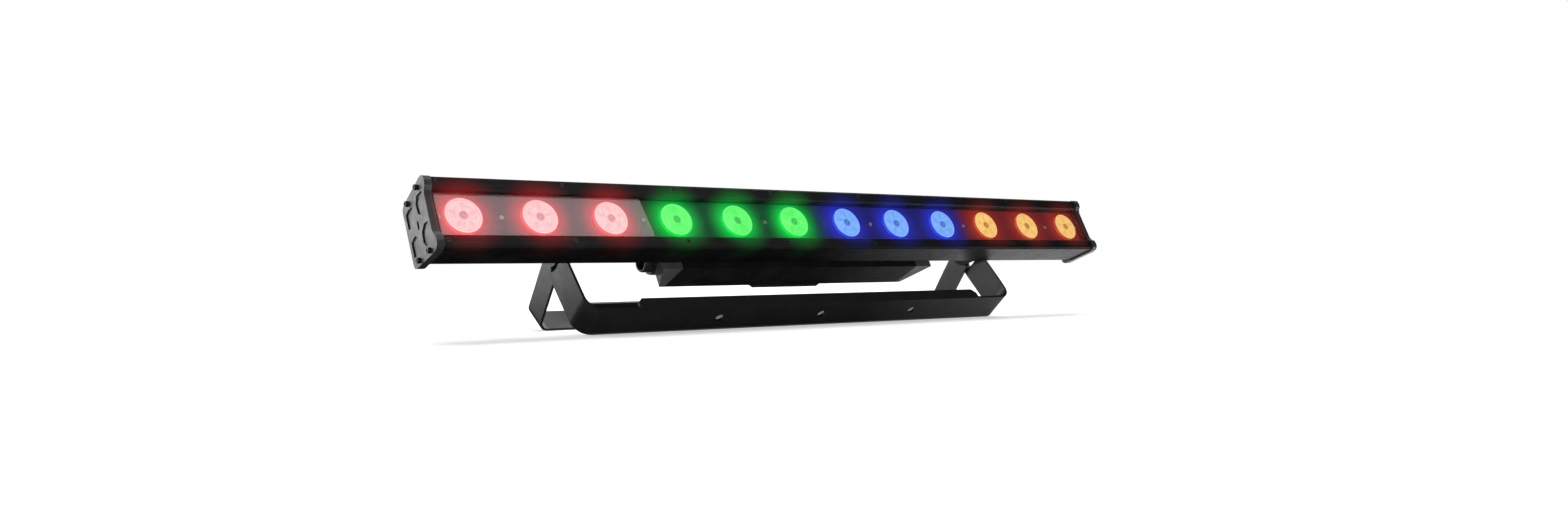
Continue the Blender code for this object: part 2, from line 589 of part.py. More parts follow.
def make_control_panel(head):
    """The control panel with its display, buttons and board."""
    low = depth_y(BOX_BACK + GAP)
    high = depth_y(PANEL_BACK)
    half_height = BOX_HALF_HEIGHT - 0.5 * MM
    slope = 4.0 * MM
    corners = [(-PANEL_HALF_LENGTH, -half_height + slope),
               (-PANEL_HALF_LENGTH + slope, -half_height),
               (PANEL_HALF_LENGTH - slope, -half_height),
               (PANEL_HALF_LENGTH, -half_height + slope),
               (PANEL_HALF_LENGTH, half_height - slope),
               (PANEL_HALF_LENGTH - slope, half_height),
               (-PANEL_HALF_LENGTH + slope, half_height),
               (-PANEL_HALF_LENGTH, half_height - slope)]
    panel = prism(ALONG_Y, [corners], low, high)
    hollow = prism(ALONG_Y, [rectangle(-45.0 * MM, 45.0 * MM, -28.0 * MM, 28.0 * MM)],
                   low - 2.0 * MM, high - PANEL_WALL)
    screw_places = [(sx * 50.0 * MM, sz * 31.5 * MM) for sx in (-1, 1) for sz in (-1, 1)]
    tools = [hollow]
    through = (low - 3.0 * MM, high + 3.0 * MM)
    tools += [prism(ALONG_Y, [circle(x, z, 1.8 * MM, 8)], *through) for x, z in screw_places]
    panel = cut(panel, *tools)
    tools = [prism(ALONG_Y, [circle(x, BUTTON_HEIGHT, BUTTON_RADIUS + GAP, 16)], *through)
             for x in button_xs()]
    wide, tall = DISPLAY_HALF
    tools.append(prism(ALONG_Y, [rectangle(-wide - GAP, wide + GAP, DISPLAY_HEIGHT - tall - GAP,
                                           DISPLAY_HEIGHT + tall + GAP)], *through))
    add_part("control_panel", cut(panel, *tools), head, PLASTIC)

    pane = prism(ALONG_Y, [rectangle(-wide, wide, DISPLAY_HEIGHT - tall, DISPLAY_HEIGHT + tall)],
                 high - 3.0 * MM, high - 0.4 * MM)
    rim = prism(ALONG_Y, [rectangle(-wide - 2.0 * MM, wide + 2.0 * MM,
                                    DISPLAY_HEIGHT - tall - 2.0 * MM,
                                    DISPLAY_HEIGHT + tall + 2.0 * MM)],
                high - 3.8 * MM, high - PANEL_WALL - GAP)
    add_part("display_window", fuse(pane, rim), head, CLEAR)

    centre_y = high
    key = turned([(0.0, 1.4 * MM), (4.2 * MM, 1.4 * MM), (BUTTON_RADIUS, 0.7 * MM),
                  (BUTTON_RADIUS, -2.3 * MM), (6.2 * MM, -2.3 * MM), (6.2 * MM, -3.6 * MM),
                  (0.0, -3.6 * MM)], 16)
    for index, x in enumerate(button_xs()):
        add_part(f"menu_button_{index + 1}", key.copy(), head, RUBBER,
                 (x, centre_y, BUTTON_HEIGHT), smooth=True)

    board = [rectangle(-43.0 * MM, 43.0 * MM, -26.0 * MM, 26.0 * MM)]
    board_back = high - 5.2 * MM
    sheet = prism(ALONG_Y, board, board_back - 1.6 * MM, board_back)
    driver = prism(ALONG_Y, [rectangle(-30.0 * MM, 30.0 * MM, -6.0 * MM, 20.0 * MM)],
                   board_back - 5.0 * MM, board_back - 1.0 * MM)
    add_part("control_board", fuse(sheet, driver), head, BOARD)


# ---------------------------------------------------------------- pivots and brackets

def make_pivots(head):
    """The ears on the back of the profile, with the bolts and washers of the pivot."""
    flange_high = FIN_DEPTH + GAP + STRIP
    bolt = turned([(0.0, -4.2 * MM), (5.0 * MM, -4.2 * MM), (6.8 * MM, -2.6 * MM),
                   (6.8 * MM, 0.0), (BOLT_RADIUS, 0.0), (BOLT_RADIUS, 21.0 * MM),
                   (0.0, 21.0 * MM)], 16)
    for name, side in (("left", -1), ("right", 1)):
        edge = 24.0 * MM
        inner_x = EAR_OUTER_X - STRIP
        ear = in_head([(FIN_DEPTH + GAP, -edge), (flange_high, -edge)])
        ear += arc(0.0, 0.0, EAR_RADIUS, -math.radians(80.0), math.radians(80.0), 12)
        ear += in_head([(flange_high, edge), (FIN_DEPTH + GAP, edge)])
        plate = prism(ALONG_X, [ear, circle(0.0, 0.0, PIVOT_HOLE_RADIUS)],
                      *sorted((side * inner_x, side * EAR_OUTER_X)))
        foot_x = 282.0 * MM
        foot = prism(ALONG_Y, [rectangle(*sorted((side * foot_x, side * EAR_OUTER_X)),
                                         -edge, edge)],
                     depth_y(FIN_DEPTH + GAP), depth_y(flange_high))
        ear_solid = fuse(plate, foot)
        places = [(side * x, height) for x in EAR_SCREW_X
                  for height in (-BETWEEN_FINS, BETWEEN_FINS)]
        tools = [prism(ALONG_Y, [circle(x, z, 2.0 * MM, 8)], depth_y(FIN_DEPTH - 2.0 * MM),
                       depth_y(flange_high + 2.0 * MM)) for x, z in places]
        add_part(f"pivot_ear_{name}", cut(ear_solid, *tools), head, COATED)

        ring = [circle(0.0, 0.0, WASHER_RADIUS, 16), circle(0.0, 0.0, PIVOT_HOLE_RADIUS)]
        for place, low, high in (
                ("inner", EAR_OUTER_X + GAP, REAR_HALF_SPAN - STRIP - GAP),
                ("outer", REAR_HALF_SPAN + GAP, FRONT_HALF_SPAN - STRIP - GAP)):
            washer = prism(ALONG_X, ring, *sorted((side * low, side * high)))
            add_part(f"friction_washer_{name}_{place}", washer, head, RUBBER)
        add_part(f"pivot_bolt_{name}", turned_to_x(bolt, side), head, STEEL,
                 (side * (FRONT_HALF_SPAN + GAP), 0.0, 0.0))
        nut = [circle(0.0, 0.0, 7.2 * MM, 6), circle(0.0, 0.0, PIVOT_HOLE_RADIUS)]
        nut_ends = sorted((side * (inner_x - GAP - 6.5 * MM), side * (inner_x - GAP)))
        add_part(f"pivot_nut_{name}", prism(ALONG_X, nut, *nut_ends), head, STEEL)


def bent_strip(half_span, half_width, reach, radius, slots):
    """A U of flat strip, bent from its flat pattern, with the pivot holes at its ends.

    The pattern lies along u, with u = 0 in the middle of the base.  It is cut across at
    each bend's stations, then every point is carried round the bend.
    """
    inner_radius = radius - STRIP
    middle_radius = radius - STRIP / 2
    base_half = half_span - radius
    arm = reach - radius
    bend = middle_radius * math.pi / 2
    pivot_u = base_half + bend + arm
    corner = half_width
    quarter = math.pi / 2
    outline = arc(pivot_u, 0.0, corner, -quarter, quarter, 12)
    outline += arc(-pivot_u, 0.0, corner, quarter, 3 * quarter, 12)
    loops = [outline]
    for side in (-1, 1):
        loops.append(circle(side * pivot_u, 0.0, PIVOT_HOLE_RADIUS))
        loops += slots(side, pivot_u)
        loops.append(circle(side * BASE_HOLE_PITCH, 0.0, BASE_HOLE_RADIUS))
    loops.append(circle(0.0, 0.0, BASE_HOLE_RADIUS))
    flat = prism(ALONG_Z, loops, -STRIP / 2, STRIP / 2)

    steps = 8
    work = bmesh.new()
    work.from_mesh(flat)
    for side in (-1, 1):
        for index in range(steps + 1):
            station = side * (base_half + bend * index / steps)
            geometry = work.verts[:] + work.edges[:] + work.faces[:]
            bmesh.ops.bisect_plane(work, geom=geometry, dist=0.000001,
                                   plane_co=(station, 0, 0), plane_no=(1, 0, 0))
    for vertex in work.verts:
        u, across, out = vertex.co
        side = 1 if u > 0 else -1
        along = abs(u) - base_half
        if along <= 0:
            place = (u, across, -reach + STRIP / 2 + out)
        elif along < bend:
            angle = along / middle_radius
            swing = middle_radius - out
            place = (side * (base_half + swing * math.sin(angle)), across,
                     -reach + radius - swing * math.cos(angle))
        else:
            place = (side * (half_span - STRIP / 2 - out), across,
                     -reach + radius + along - bend)
        vertex.co = Vector(place)
    work.to_mesh(flat)
    work.free()
    assert inner_radius > 0
    return tidy(flat)


def flange(half_width, reach, height, front):
    """The stiffening flange of a bracket's base, folded up along one edge."""
    chamfer = 6.0 * MM
    low = -reach
    high = -reach + height
    half = FLANGE_HALF_LENGTH
    outline = [(-half, low), (half, low), (half, high - chamfer), (half - chamfer, high),
               (-half + chamfer, high), (-half, high - chamfer)]
    outer = half_width
    inner = half_width - STRIP
    ends = (-outer, -inner) if front else (inner, outer)
    return prism(ALONG_Y, [outline], *ends)


def make_front_bracket():
    """The outer bracket, whose arms carry the slots that limit how far the two spread."""
    def slots(side, pivot_u):
        centre = side * pivot_u
        start = math.pi - SLOT_REAR_END if side > 0 else -SLOT_FRONT_END
        end = math.pi + SLOT_FRONT_END if side > 0 else SLOT_REAR_END
        loop = arc(centre, 0.0, SLOT_RADIUS + SLOT_HALF_WIDTH, start, end, 10)
        loop += arc(centre + SLOT_RADIUS * math.cos(end), SLOT_RADIUS * math.sin(end),
                    SLOT_HALF_WIDTH, end, end + math.pi, 6)[1:-1]
        loop += arc(centre, 0.0, SLOT_RADIUS - SLOT_HALF_WIDTH, end, start, 10)
        loop += arc(centre + SLOT_RADIUS * math.cos(start), SLOT_RADIUS * math.sin(start),
                    SLOT_HALF_WIDTH, start + math.pi, start + 2 * math.pi, 6)[1:-1]
        return [loop]

    parent = axis_empty("front_bracket_axis", -FRONT_ANGLE)
    strip = bent_strip(FRONT_HALF_SPAN, FRONT_HALF_WIDTH, FRONT_REACH, BEND_RADIUS, slots)
    fold = flange(FRONT_HALF_WIDTH, FRONT_REACH, FRONT_FLANGE, True)
    add_part("front_bracket", fuse(strip, fold), parent, COATED)


def make_rear_bracket():
    """The inner bracket, with two riveted pins that run in the outer bracket's slots."""
    parent = axis_empty("rear_bracket_axis", REAR_ANGLE)
    strip = bent_strip(REAR_HALF_SPAN, REAR_HALF_WIDTH, REAR_REACH, REAR_BEND_RADIUS,
                       lambda side, pivot_u: [])
    fold = flange(REAR_HALF_WIDTH, REAR_REACH, REAR_FLANGE, False)
    pin_angle = FRONT_ANGLE + REAR_ANGLE - SLOT_REAR_END
    outline = circle(-SLOT_RADIUS * math.sin(pin_angle), -SLOT_RADIUS * math.cos(pin_angle),
                     PIN_RADIUS, 12)
    pins = [prism(ALONG_X, [outline], *sorted((side * (REAR_HALF_SPAN - 1.0 * MM),
                                               side * (FRONT_HALF_SPAN + 1.5 * MM))))
            for side in (-1, 1)]
    add_part("rear_bracket", fuse(strip, fold, *pins), parent, COATED)


def main():
    """Clear the scene and model the whole batten."""
    for item in list(bpy.data.objects):
        bpy.data.objects.remove(item)
    head = axis_empty("lamp_head_axis", -TILT)
    make_housing(head)
    make_rails(head)
    make_front_glass(head)
    make_optics(head)
    make_end_caps(head)
    make_driver_box(head)
    make_box_ends(head)
    make_driver_board(head)
    make_control_panel(head)
    make_pivots(head)
    make_front_bracket()
    make_rear_bracket()


main()
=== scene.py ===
"""The finished look of an LED strip batten on a folding double bracket.

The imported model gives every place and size: the lamp head's pivot, its tilt, and the corners
of each node.  Each operator below finishes one piece or one group of like pieces.
"""

import json
import math

import bpy
from mathutils import Matrix, Vector


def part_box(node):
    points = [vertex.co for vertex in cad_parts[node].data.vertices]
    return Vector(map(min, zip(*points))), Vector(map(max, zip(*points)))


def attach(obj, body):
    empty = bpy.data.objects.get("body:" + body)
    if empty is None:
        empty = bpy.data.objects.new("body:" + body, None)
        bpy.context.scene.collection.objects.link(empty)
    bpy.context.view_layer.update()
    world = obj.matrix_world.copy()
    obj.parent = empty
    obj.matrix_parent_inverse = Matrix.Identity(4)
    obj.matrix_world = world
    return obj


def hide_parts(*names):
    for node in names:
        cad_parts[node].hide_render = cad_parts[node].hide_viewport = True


bl_info = {
    "name": "LED strip batten finish",
    "version": (1, 0, 0),
    "blender": (4, 5, 0),
    "location": "View3D > Sidebar > Batten",
    "description": "Finishes the pieces, light and camera of an LED strip batten",
    "category": "Object",
}

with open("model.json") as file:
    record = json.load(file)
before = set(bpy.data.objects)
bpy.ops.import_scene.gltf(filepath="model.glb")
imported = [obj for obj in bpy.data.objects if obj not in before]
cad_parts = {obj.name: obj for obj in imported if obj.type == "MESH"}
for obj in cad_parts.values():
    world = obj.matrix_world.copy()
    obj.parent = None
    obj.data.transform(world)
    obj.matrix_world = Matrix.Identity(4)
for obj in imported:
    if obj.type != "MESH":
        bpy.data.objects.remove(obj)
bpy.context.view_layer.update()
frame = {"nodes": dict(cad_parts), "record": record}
RECORD = frame["record"]
JOINTS = {joint["name"]: joint for joint in RECORD["behaviour"]["joints"]}
PIVOT = Vector(JOINTS["lamp_head_tilt"]["pos_m"])
PRESS = JOINTS["menu_button_1_press"]["axis"]
TILT = math.atan2(PRESS[2], -PRESS[1])

MM = 0.001
# How far the pivot lies behind the lenses' faces
PIVOT_DEPTH = 78.4 * MM
LENS_COUNT = 12
LENS_PITCH = (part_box("lens_12")[1][0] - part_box("lens_01")[1][0]) / (LENS_COUNT - 1)
ROW_HALF = LENS_PITCH * LENS_COUNT / 2
# Half the soft border between two colours, as a share of the row
ZONE_BLUR = 0.014
WINDOW_HALF = 488.5 * MM

# Depths behind the lenses at which small pieces sit
RAIL_SCREW_SEAT = -4.95 * MM
LENS_FACE = 1.35 * MM
PLATE_SCREW_SEAT = 5.2 * MM
BOX_SCREW_SEAT = 48.35 * MM
EAR_SCREW_SEAT = 49.5 * MM
VENT_SEAT = 92.3 * MM
BUTTON_SEAT = 100.0 * MM
PANEL_SCREW_SEAT = 100.2 * MM

# Where the screws stand: X, heights, and the lens plate's places counted in lenses
RAIL_SCREW_HEIGHTS = {"top": 34.6 * MM, "bottom": -30.8 * MM}
PLATE_SCREW_PLACES = (-0.3, 0.5, 2.5, 4.5, 6.5, 8.5, 10.5, 11.3)
EAR_SCREW_X = (291.0 * MM, 305.0 * MM)
BOX_SCREW_X = (-150.0 * MM, 150.0 * MM)
PANEL_SCREW_X = (-50.0 * MM, 50.0 * MM)
BETWEEN_FINS = 12.75 * MM
PANEL_SCREW_HEIGHT = 31.5 * MM

# Where spilled light fades: in depth on the front faces, in depth and height on the window walls
FRONT_FADE = (-5 * MM, 7 * MM)
WALL_FADE = (12 * MM, 20 * MM)
WALL_HEIGHT_FADE = (34 * MM, 38 * MM)

# The profile's lower front edge: in front of a depth, below a height, and its rounding
HOUSING_CORNER = (2 * MM, -36 * MM, 1.6 * MM)
LONG_EDGE = 0.5
WELD = 0.005 * MM

# The stage.  Each panel of light: its place, what it points at, its sides and its power
FLOOR_SIZE = 60.0
# A black card seen only in the coats' gloss paints the floor's shade into their reflections: its
# place, its sides and where it fades along X
CARD_PLACE = (-0.235, 0.2, 0.0015)
CARD_SIZE = (1.47, 0.9, 1.0)
CARD_FADE = (0.08, 0.46)
PANELS = {
    "side_panel": ((-1.35, 2.0, 0.8), (-0.4, 0.0, 0.1), (1.2, 1.8), "key_power"),
    "sheet_panel": ((0.61, -1.35, 1.75), (-0.13, 0.0, 0.1), (0.9, 0.9), "sheet_power"),
    "rim_panel": ((1.24, 0.8, 1.45), (0.0, 0.0, 0.1), (1.0, 1.0), "rim_power"),
}
SUN_SPREAD = math.radians(40.0)
SUN_TILT = math.radians(-12.0)
SENSOR_WIDTH = 36.0

# The lamp head's own directions, and the ways a piece modelled about Z can be turned
HEAD = Matrix.Translation(PIVOT) @ Matrix.Rotation(-TILT, 4, "X")
FACING_FRONT = Matrix.Rotation(math.radians(90), 4, "X")
FACING_BACK = Matrix.Rotation(math.radians(-90), 4, "X")
FACING_SIDE = {-1: Matrix.Rotation(math.radians(-90), 4, "Y"),
               1: Matrix.Rotation(math.radians(90), 4, "Y")}


def in_head(x, depth, height):
    """The matrix of a place in the lamp head: X, depth behind the lenses, and height."""
    return HEAD @ Matrix.Translation((x, depth - PIVOT_DEPTH, height))


def outer_x(node, side):
    """The X of a node's outer end, on the left (-1) or on the right (1)."""
    low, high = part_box(node)
    return high[0] if side > 0 else low[0]


def node_middle_in_head(node):
    """The middle of a node, as X, depth behind the lenses and height."""
    low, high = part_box(node)
    middle = HEAD.inverted() @ ((Vector(low) + Vector(high)) / 2)
    return middle.x, middle.y + PIVOT_DEPTH, middle.z


# ---------------------------------------------------------------- modelling by hand

def clear_selection():
    """Leave edit mode and deselect everything."""
    if bpy.context.object and bpy.context.object.mode != "OBJECT":
        bpy.ops.object.mode_set(mode="OBJECT")
    bpy.ops.object.select_all(action="DESELECT")


def pick(piece):
    """Make one piece the only one selected, and active."""
    clear_selection()
    piece.select_set(True)
    bpy.context.view_layer.objects.active = piece


def close_mesh(piece, smooth_angle=35.0):
    """Merge doubled points, turn the faces outwards and smooth the round stretches."""
    pick(piece)
    bpy.ops.object.mode_set(mode="EDIT")
    bpy.ops.mesh.select_all(action="SELECT")
    bpy.ops.mesh.remove_doubles(threshold=WELD)
    bpy.ops.mesh.normals_make_consistent(inside=False)
    bpy.ops.object.mode_set(mode="OBJECT")
    bpy.ops.object.shade_smooth_by_angle(angle=math.radians(smooth_angle))
    return piece


def in_mm(*steps):
    """Radii and heights given in millimetres, as metres."""
    return [(radius * MM, height * MM) for radius, height in steps]


def turn_up(name, steps, vertices=48):
    """A turned piece about Z: a disc at the first radius and height, drawn up step by step."""
    clear_selection()
    radius, height = steps[0]
    bpy.ops.mesh.primitive_circle_add(vertices=vertices, radius=radius, fill_type="NGON",
                                      location=(0, 0, height))
    piece = bpy.context.object
    piece.name = name
    bpy.ops.object.transform_apply(location=True, rotation=True, scale=True)
    bpy.ops.object.mode_set(mode="EDIT")
    bpy.ops.mesh.select_all(action="SELECT")
    for next_radius, next_height in steps[1:]:
        bpy.ops.mesh.extrude_region_move(
            TRANSFORM_OT_translate={"value": (0, 0, next_height - height)})
        ratio = next_radius / radius
        bpy.ops.transform.resize(value=(ratio, ratio, 1), center_override=(0, 0, next_height))
        radius, height = next_radius, next_height
    return close_mesh(piece)


def carve(piece, cutter):
    """Cut one piece out of another and remove the cutter."""
    pick(piece)
    modifier = piece.modifiers.new("carve", "BOOLEAN")
    modifier.solver = "EXACT"
    modifier.object = cutter
    bpy.ops.object.modifier_apply(modifier=modifier.name)
    bpy.data.objects.remove(cutter)
    return piece


def hex_recess(piece, radius, top, depth):
    """A recess for a hex key, sunk into the top of a piece about Z."""
    clear_selection()
    bpy.ops.mesh.primitive_cylinder_add(vertices=6, radius=radius, depth=depth * 2,
                                        location=(0, 0, top))
    cutter = bpy.context.object
    bpy.ops.object.transform_apply(location=True, rotation=True, scale=True)
    return carve(piece, cutter)


def soften(piece, width, segments=2):
    """Round every sharp edge of a piece by a small width."""
    pick(piece)
    modifier = piece.modifiers.new("soften", "BEVEL")
    modifier.width = width
    modifier.segments = segments
    modifier.limit_method = "ANGLE"
    modifier.angle_limit = math.radians(30.0)
    modifier.harden_normals = True
    bpy.ops.object.modifier_apply(modifier=modifier.name)
    return piece


def add_object(name, data):
    """A new object in the scene, for a mesh, a light or a camera."""
    made = bpy.data.objects.new(name, data)
    bpy.context.scene.collection.objects.link(made)
    return made


def copy_to(master, name, matrix):
    """A copy of a piece with its own mesh, carried to a place."""
    mesh = master.data.copy()
    mesh.transform(matrix)
    return add_object(name, mesh)


def merge(master, extras):
    """Join other pieces into the first one."""
    clear_selection()
    for extra in extras:
        extra.select_set(True)
    master.select_set(True)
    bpy.context.view_layer.objects.active = master
    bpy.ops.object.join()
    return master


def hand_over(piece, slot, material, *nodes, body="lamp_head"):
    """Give a finished piece its material, its body and the nodes it stands for."""
    piece.data.materials.clear()
    piece.data.materials.append(material)
    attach(piece, body)
    if nodes:
        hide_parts(*nodes)


def round_long_edges(piece, depth_limit, height_limit, width):
    """Round the long edges that lie in front of a depth and below a height in the head."""
    pick(piece)
    to_head = HEAD.inverted()
    mesh = piece.data
    for face in mesh.polygons:
        face.select = False
    for vertex in mesh.vertices:
        vertex.select = False
    for edge in mesh.edges:
        first, second = (to_head @ mesh.vertices[index].co for index in edge.vertices)
        edge.select = (abs(second.x - first.x) > LONG_EDGE
                       and max(first.y, second.y) + PIVOT_DEPTH < depth_limit
                       and max(first.z, second.z) < height_limit)
    bpy.ops.object.mode_set(mode="EDIT")
    bpy.ops.mesh.bevel(offset=width, segments=4)
    bpy.ops.object.mode_set(mode="OBJECT")


def softened_node(node, name, slot, material, width, segments=2, corner=None,
                  body="lamp_head"):
    """The node's own shape with its flat faces cleaned and its sharp edges rounded."""
    piece = add_object(name, frame["nodes"][node].data.copy())
    pick(piece)
    bpy.ops.object.mode_set(mode="EDIT")
    bpy.ops.mesh.select_all(action="SELECT")
    bpy.ops.mesh.remove_doubles(threshold=WELD)
    bpy.ops.mesh.dissolve_limited(angle_limit=math.radians(0.4))
    bpy.ops.mesh.select_mode(type="EDGE")
    bpy.ops.object.mode_set(mode="OBJECT")
    if corner:
        round_long_edges(piece, *corner)
    bpy.ops.object.shade_smooth_by_angle(angle=math.radians(28.0))
    soften(piece, width, segments)
    hand_over(piece, slot, material, node, body=body)
    return piece


# ---------------------------------------------------------------- materials

class Recipe:
    """A procedural material: a Principled shader and the nodes that feed it."""

    def __init__(self, name, colour, roughness, metallic=0.0):
        self.material = bpy.data.materials.new(name)
        self.material.use_nodes = True
        self.tree = self.material.node_tree
        self.shader = self.tree.nodes["Principled BSDF"]
        self.set("Base Color", (*colour, 1.0))
        self.set("Roughness", roughness)
        self.set("Metallic", metallic)
        self.coords = self.node("ShaderNodeTexCoord").outputs["Object"]

    def node(self, kind, **settings):
        """A new node with some of its settings changed."""
        made = self.tree.nodes.new(kind)
        for key, value in settings.items():
            setattr(made, key, value)
        return made

    def set(self, socket, value):
        """A value that is the same all over, on the shader's own socket."""
        self.shader.inputs[socket].default_value = value

    def feed(self, target, source):
        """Link a source to an input, or set the input to a plain value."""
        if isinstance(source, bpy.types.NodeSocket):
            self.tree.links.new(source, target)
        else:
            target.default_value = source

    def drive(self, socket, source):
        """Link a source to one of the shader's sockets."""
        self.feed(self.shader.inputs[socket], source)

    def math(self, operation, first, second=0.0, third=0.0):
        """One arithmetic step."""
        made = self.node("ShaderNodeMath", operation=operation)
        for target, source in zip(made.inputs, (first, second, third)):
            self.feed(target, source)
        return made.outputs[0]

    def noise(self, scale, detail=3.0):
        """A noise pattern in the piece's own metres."""
        made = self.node("ShaderNodeTexNoise")
        self.feed(made.inputs["Vector"], self.coords)
        made.inputs["Scale"].default_value = scale
        made.inputs["Detail"].default_value = detail
        made.inputs["Roughness"].default_value = 0.55
        return made.outputs["Fac"]

    def cells(self, scale):
        """A cell pattern, for the grain of a textured coat."""
        made = self.node("ShaderNodeTexVoronoi", feature="SMOOTH_F1")
        self.feed(made.inputs["Vector"], self.coords)
        made.inputs["Scale"].default_value = scale
        return made.outputs["Distance"]

    def remap(self, value, low, high, to_low, to_high):
        """A value carried from one range to another, kept inside it."""
        made = self.node("ShaderNodeMapRange")
        for target, source in zip(made.inputs, (value, low, high, to_low, to_high)):
            self.feed(target, source)
        return made.outputs[0]

    def blend(self, share, first, second):
        """Two colours mixed by a share."""
        made = self.node("ShaderNodeMix", data_type="RGBA")
        self.feed(made.inputs["Factor"], share)
        self.feed(made.inputs["A"], (*first, 1.0) if isinstance(first, tuple) else first)
        self.feed(made.inputs["B"], (*second, 1.0) if isinstance(second, tuple) else second)
        return made.outputs["Result"]

    def steps(self, value, stops):
        """A colour ramp."""
        made = self.node("ShaderNodeValToRGB")
        ramp = made.color_ramp
        ramp.interpolation = "EASE"
        while len(ramp.elements) < len(stops):
            ramp.elements.new(1.0)
        for element, (position, colour) in zip(ramp.elements, stops):
            element.position = position
            element.color = (*colour, 1.0)
        self.feed(made.inputs["Fac"], value)
        return made.outputs["Color"]

    def relief(self, height, strength, distance):
        """A bump from a height pattern."""
        made = self.node("ShaderNodeBump")
        made.inputs["Strength"].default_value = strength
        made.inputs["Distance"].default_value = distance
        self.feed(made.inputs["Height"], height)
        self.drive("Normal", made.outputs[0])

    def head_place(self):
        """X, depth line and height of the shaded point in the lamp head."""
        shift = self.node("ShaderNodeVectorMath", operation="SUBTRACT")
        self.feed(shift.inputs[0], self.coords)
        shift.inputs[1].default_value = PIVOT
        turn = self.node("ShaderNodeVectorRotate", rotation_type="X_AXIS")
        turn.inputs["Angle"].default_value = TILT
        self.feed(turn.inputs["Vector"], shift.outputs[0])
        split = self.node("ShaderNodeSeparateXYZ")
        self.feed(split.inputs[0], turn.outputs[0])
        return split.outputs["X"], split.outputs["Y"], split.outputs["Z"]

    def from_lens(self):
        """Distance and angle from the nearest lens, then X, depth line and height."""
        x, depth, height = self.head_place()
        wrapped = self.math("WRAP", x, LENS_PITCH, 0.0)
        across = self.math("SUBTRACT", wrapped, LENS_PITCH / 2)
        square = self.math("ADD", self.math("MULTIPLY", across, across),
                           self.math("MULTIPLY", height, height))
        angle = self.math("ARCTAN2", height, across)
        return self.math("SQRT", square), angle, x, depth, height

    def lens_zones(self, x, colours):
        """The colour of the group of lenses that the shaded point lies in."""
        share = self.remap(x, -ROW_HALF, ROW_HALF, 0.0, 1.0)
        count = len(colours)
        stops = []
        for index, colour in enumerate(colours):
            stops += [(index / count + ZONE_BLUR, tuple(colour)),
                      ((index + 1) / count - ZONE_BLUR, tuple(colour))]
        return self.steps(share, stops)


def looks():
    """The colours and finishes that a user can change."""
    return bpy.context.scene.batten_looks


def scaled(colour, factor):
    """A colour made darker or lighter."""
    return tuple(channel * factor for channel in colour)


def mixed(first, first_share, second, second_share):
    """Shares of two colours added together."""
    return tuple(a * first_share + b * second_share for a, b in zip(first, second))


def coat(name, light_and_shade_tone, roughness, grain, gloss, glow=None):
    """Powder coat: fine orange peel, slight patches of gloss, paler edges that are partly wear
    and partly a painted edge highlight, and a colour scaled for painted light and shade.
    """
    # The coat colour is scaled for each piece to how brightly it is lit: a lighter copy is
    # painted light, a darker copy painted shade
    colour = scaled(looks().coat_colour, light_and_shade_tone)
    recipe = Recipe(name, colour, roughness)
    recipe.set("Specular IOR Level", looks().coat_gloss * gloss)
    patches = recipe.noise(35.0, 4.0)
    # Paler sharp edges: partly wear and partly a painted edge highlight
    edge_pointiness = recipe.node("ShaderNodeNewGeometry").outputs["Pointiness"]
    edge = recipe.remap(edge_pointiness, 0.53, 0.62, 0.0, 0.5)
    worn_and_highlit_edges = recipe.math("MULTIPLY", edge, recipe.remap(patches, 0.45, 0.65, 0.1, 1.0))
    paler = tuple(min(1.0, channel * 3.2 + 0.012) for channel in colour)
    tinted = recipe.blend(recipe.remap(patches, 0.3, 0.7, 0.0, 1.0), colour,
                          scaled(colour, 1.25))
    recipe.drive("Base Color", recipe.blend(worn_and_highlit_edges, tinted, paler))
    recipe.drive("Roughness", recipe.remap(recipe.noise(90.0, 5.0), 0.25, 0.75,
                                           roughness - 0.05, roughness + 0.07))
    peel = recipe.math("ADD", recipe.cells(1400.0),
                       recipe.math("MULTIPLY", recipe.noise(2600.0, 2.0), 0.6))
    recipe.relief(peel, 0.16 * grain, 0.0003)
    if glow is not None:
        spill_light(recipe, glow)
    return recipe.material


def spill_light(recipe, strength):
    """Light of the nearest lenses that spills on a front face or on a wall of the window."""
    distance, _, x, depth, height = recipe.from_lens()
    reach = recipe.remap(distance, looks().lens_radius * 0.9, looks().spill_reach, 1.0, 0.04)
    falloff = recipe.math("POWER", reach, 1.9)
    front_start, front_end = (-PIVOT_DEPTH + fade for fade in FRONT_FADE)
    front = recipe.remap(depth, front_start, front_end, 1.0, 0.0)
    wall_start, wall_end = (-PIVOT_DEPTH + fade for fade in WALL_FADE)
    walls = recipe.math("MULTIPLY", recipe.remap(depth, wall_start, wall_end, 1.0, 0.0),
                        recipe.remap(recipe.math("ABSOLUTE", height), *WALL_HEIGHT_FADE,
                                     1.0, 0.0))
    between = recipe.remap(recipe.math("ABSOLUTE", x), WINDOW_HALF, WINDOW_HALF + 1 * MM,
                           1.0, 0.0)
    lit = recipe.math("MULTIPLY", recipe.math("MAXIMUM", front, walls), between)
    amount = recipe.math("MULTIPLY", falloff, lit)
    recipe.drive("Emission Color", recipe.lens_zones(x, glow_colours()))
    recipe.drive("Emission Strength", recipe.math("MULTIPLY", amount, strength))


def glow_colours():
    """The saturated colours of the light, one for each group of lenses."""
    item = looks()
    return [item.red_glow, item.green_glow, item.blue_glow, item.amber_glow]


def lens_colours():
    """The pale colours of the lit lenses, one for each group."""
    item = looks()
    return [item.red_lens, item.green_lens, item.blue_lens, item.amber_lens]


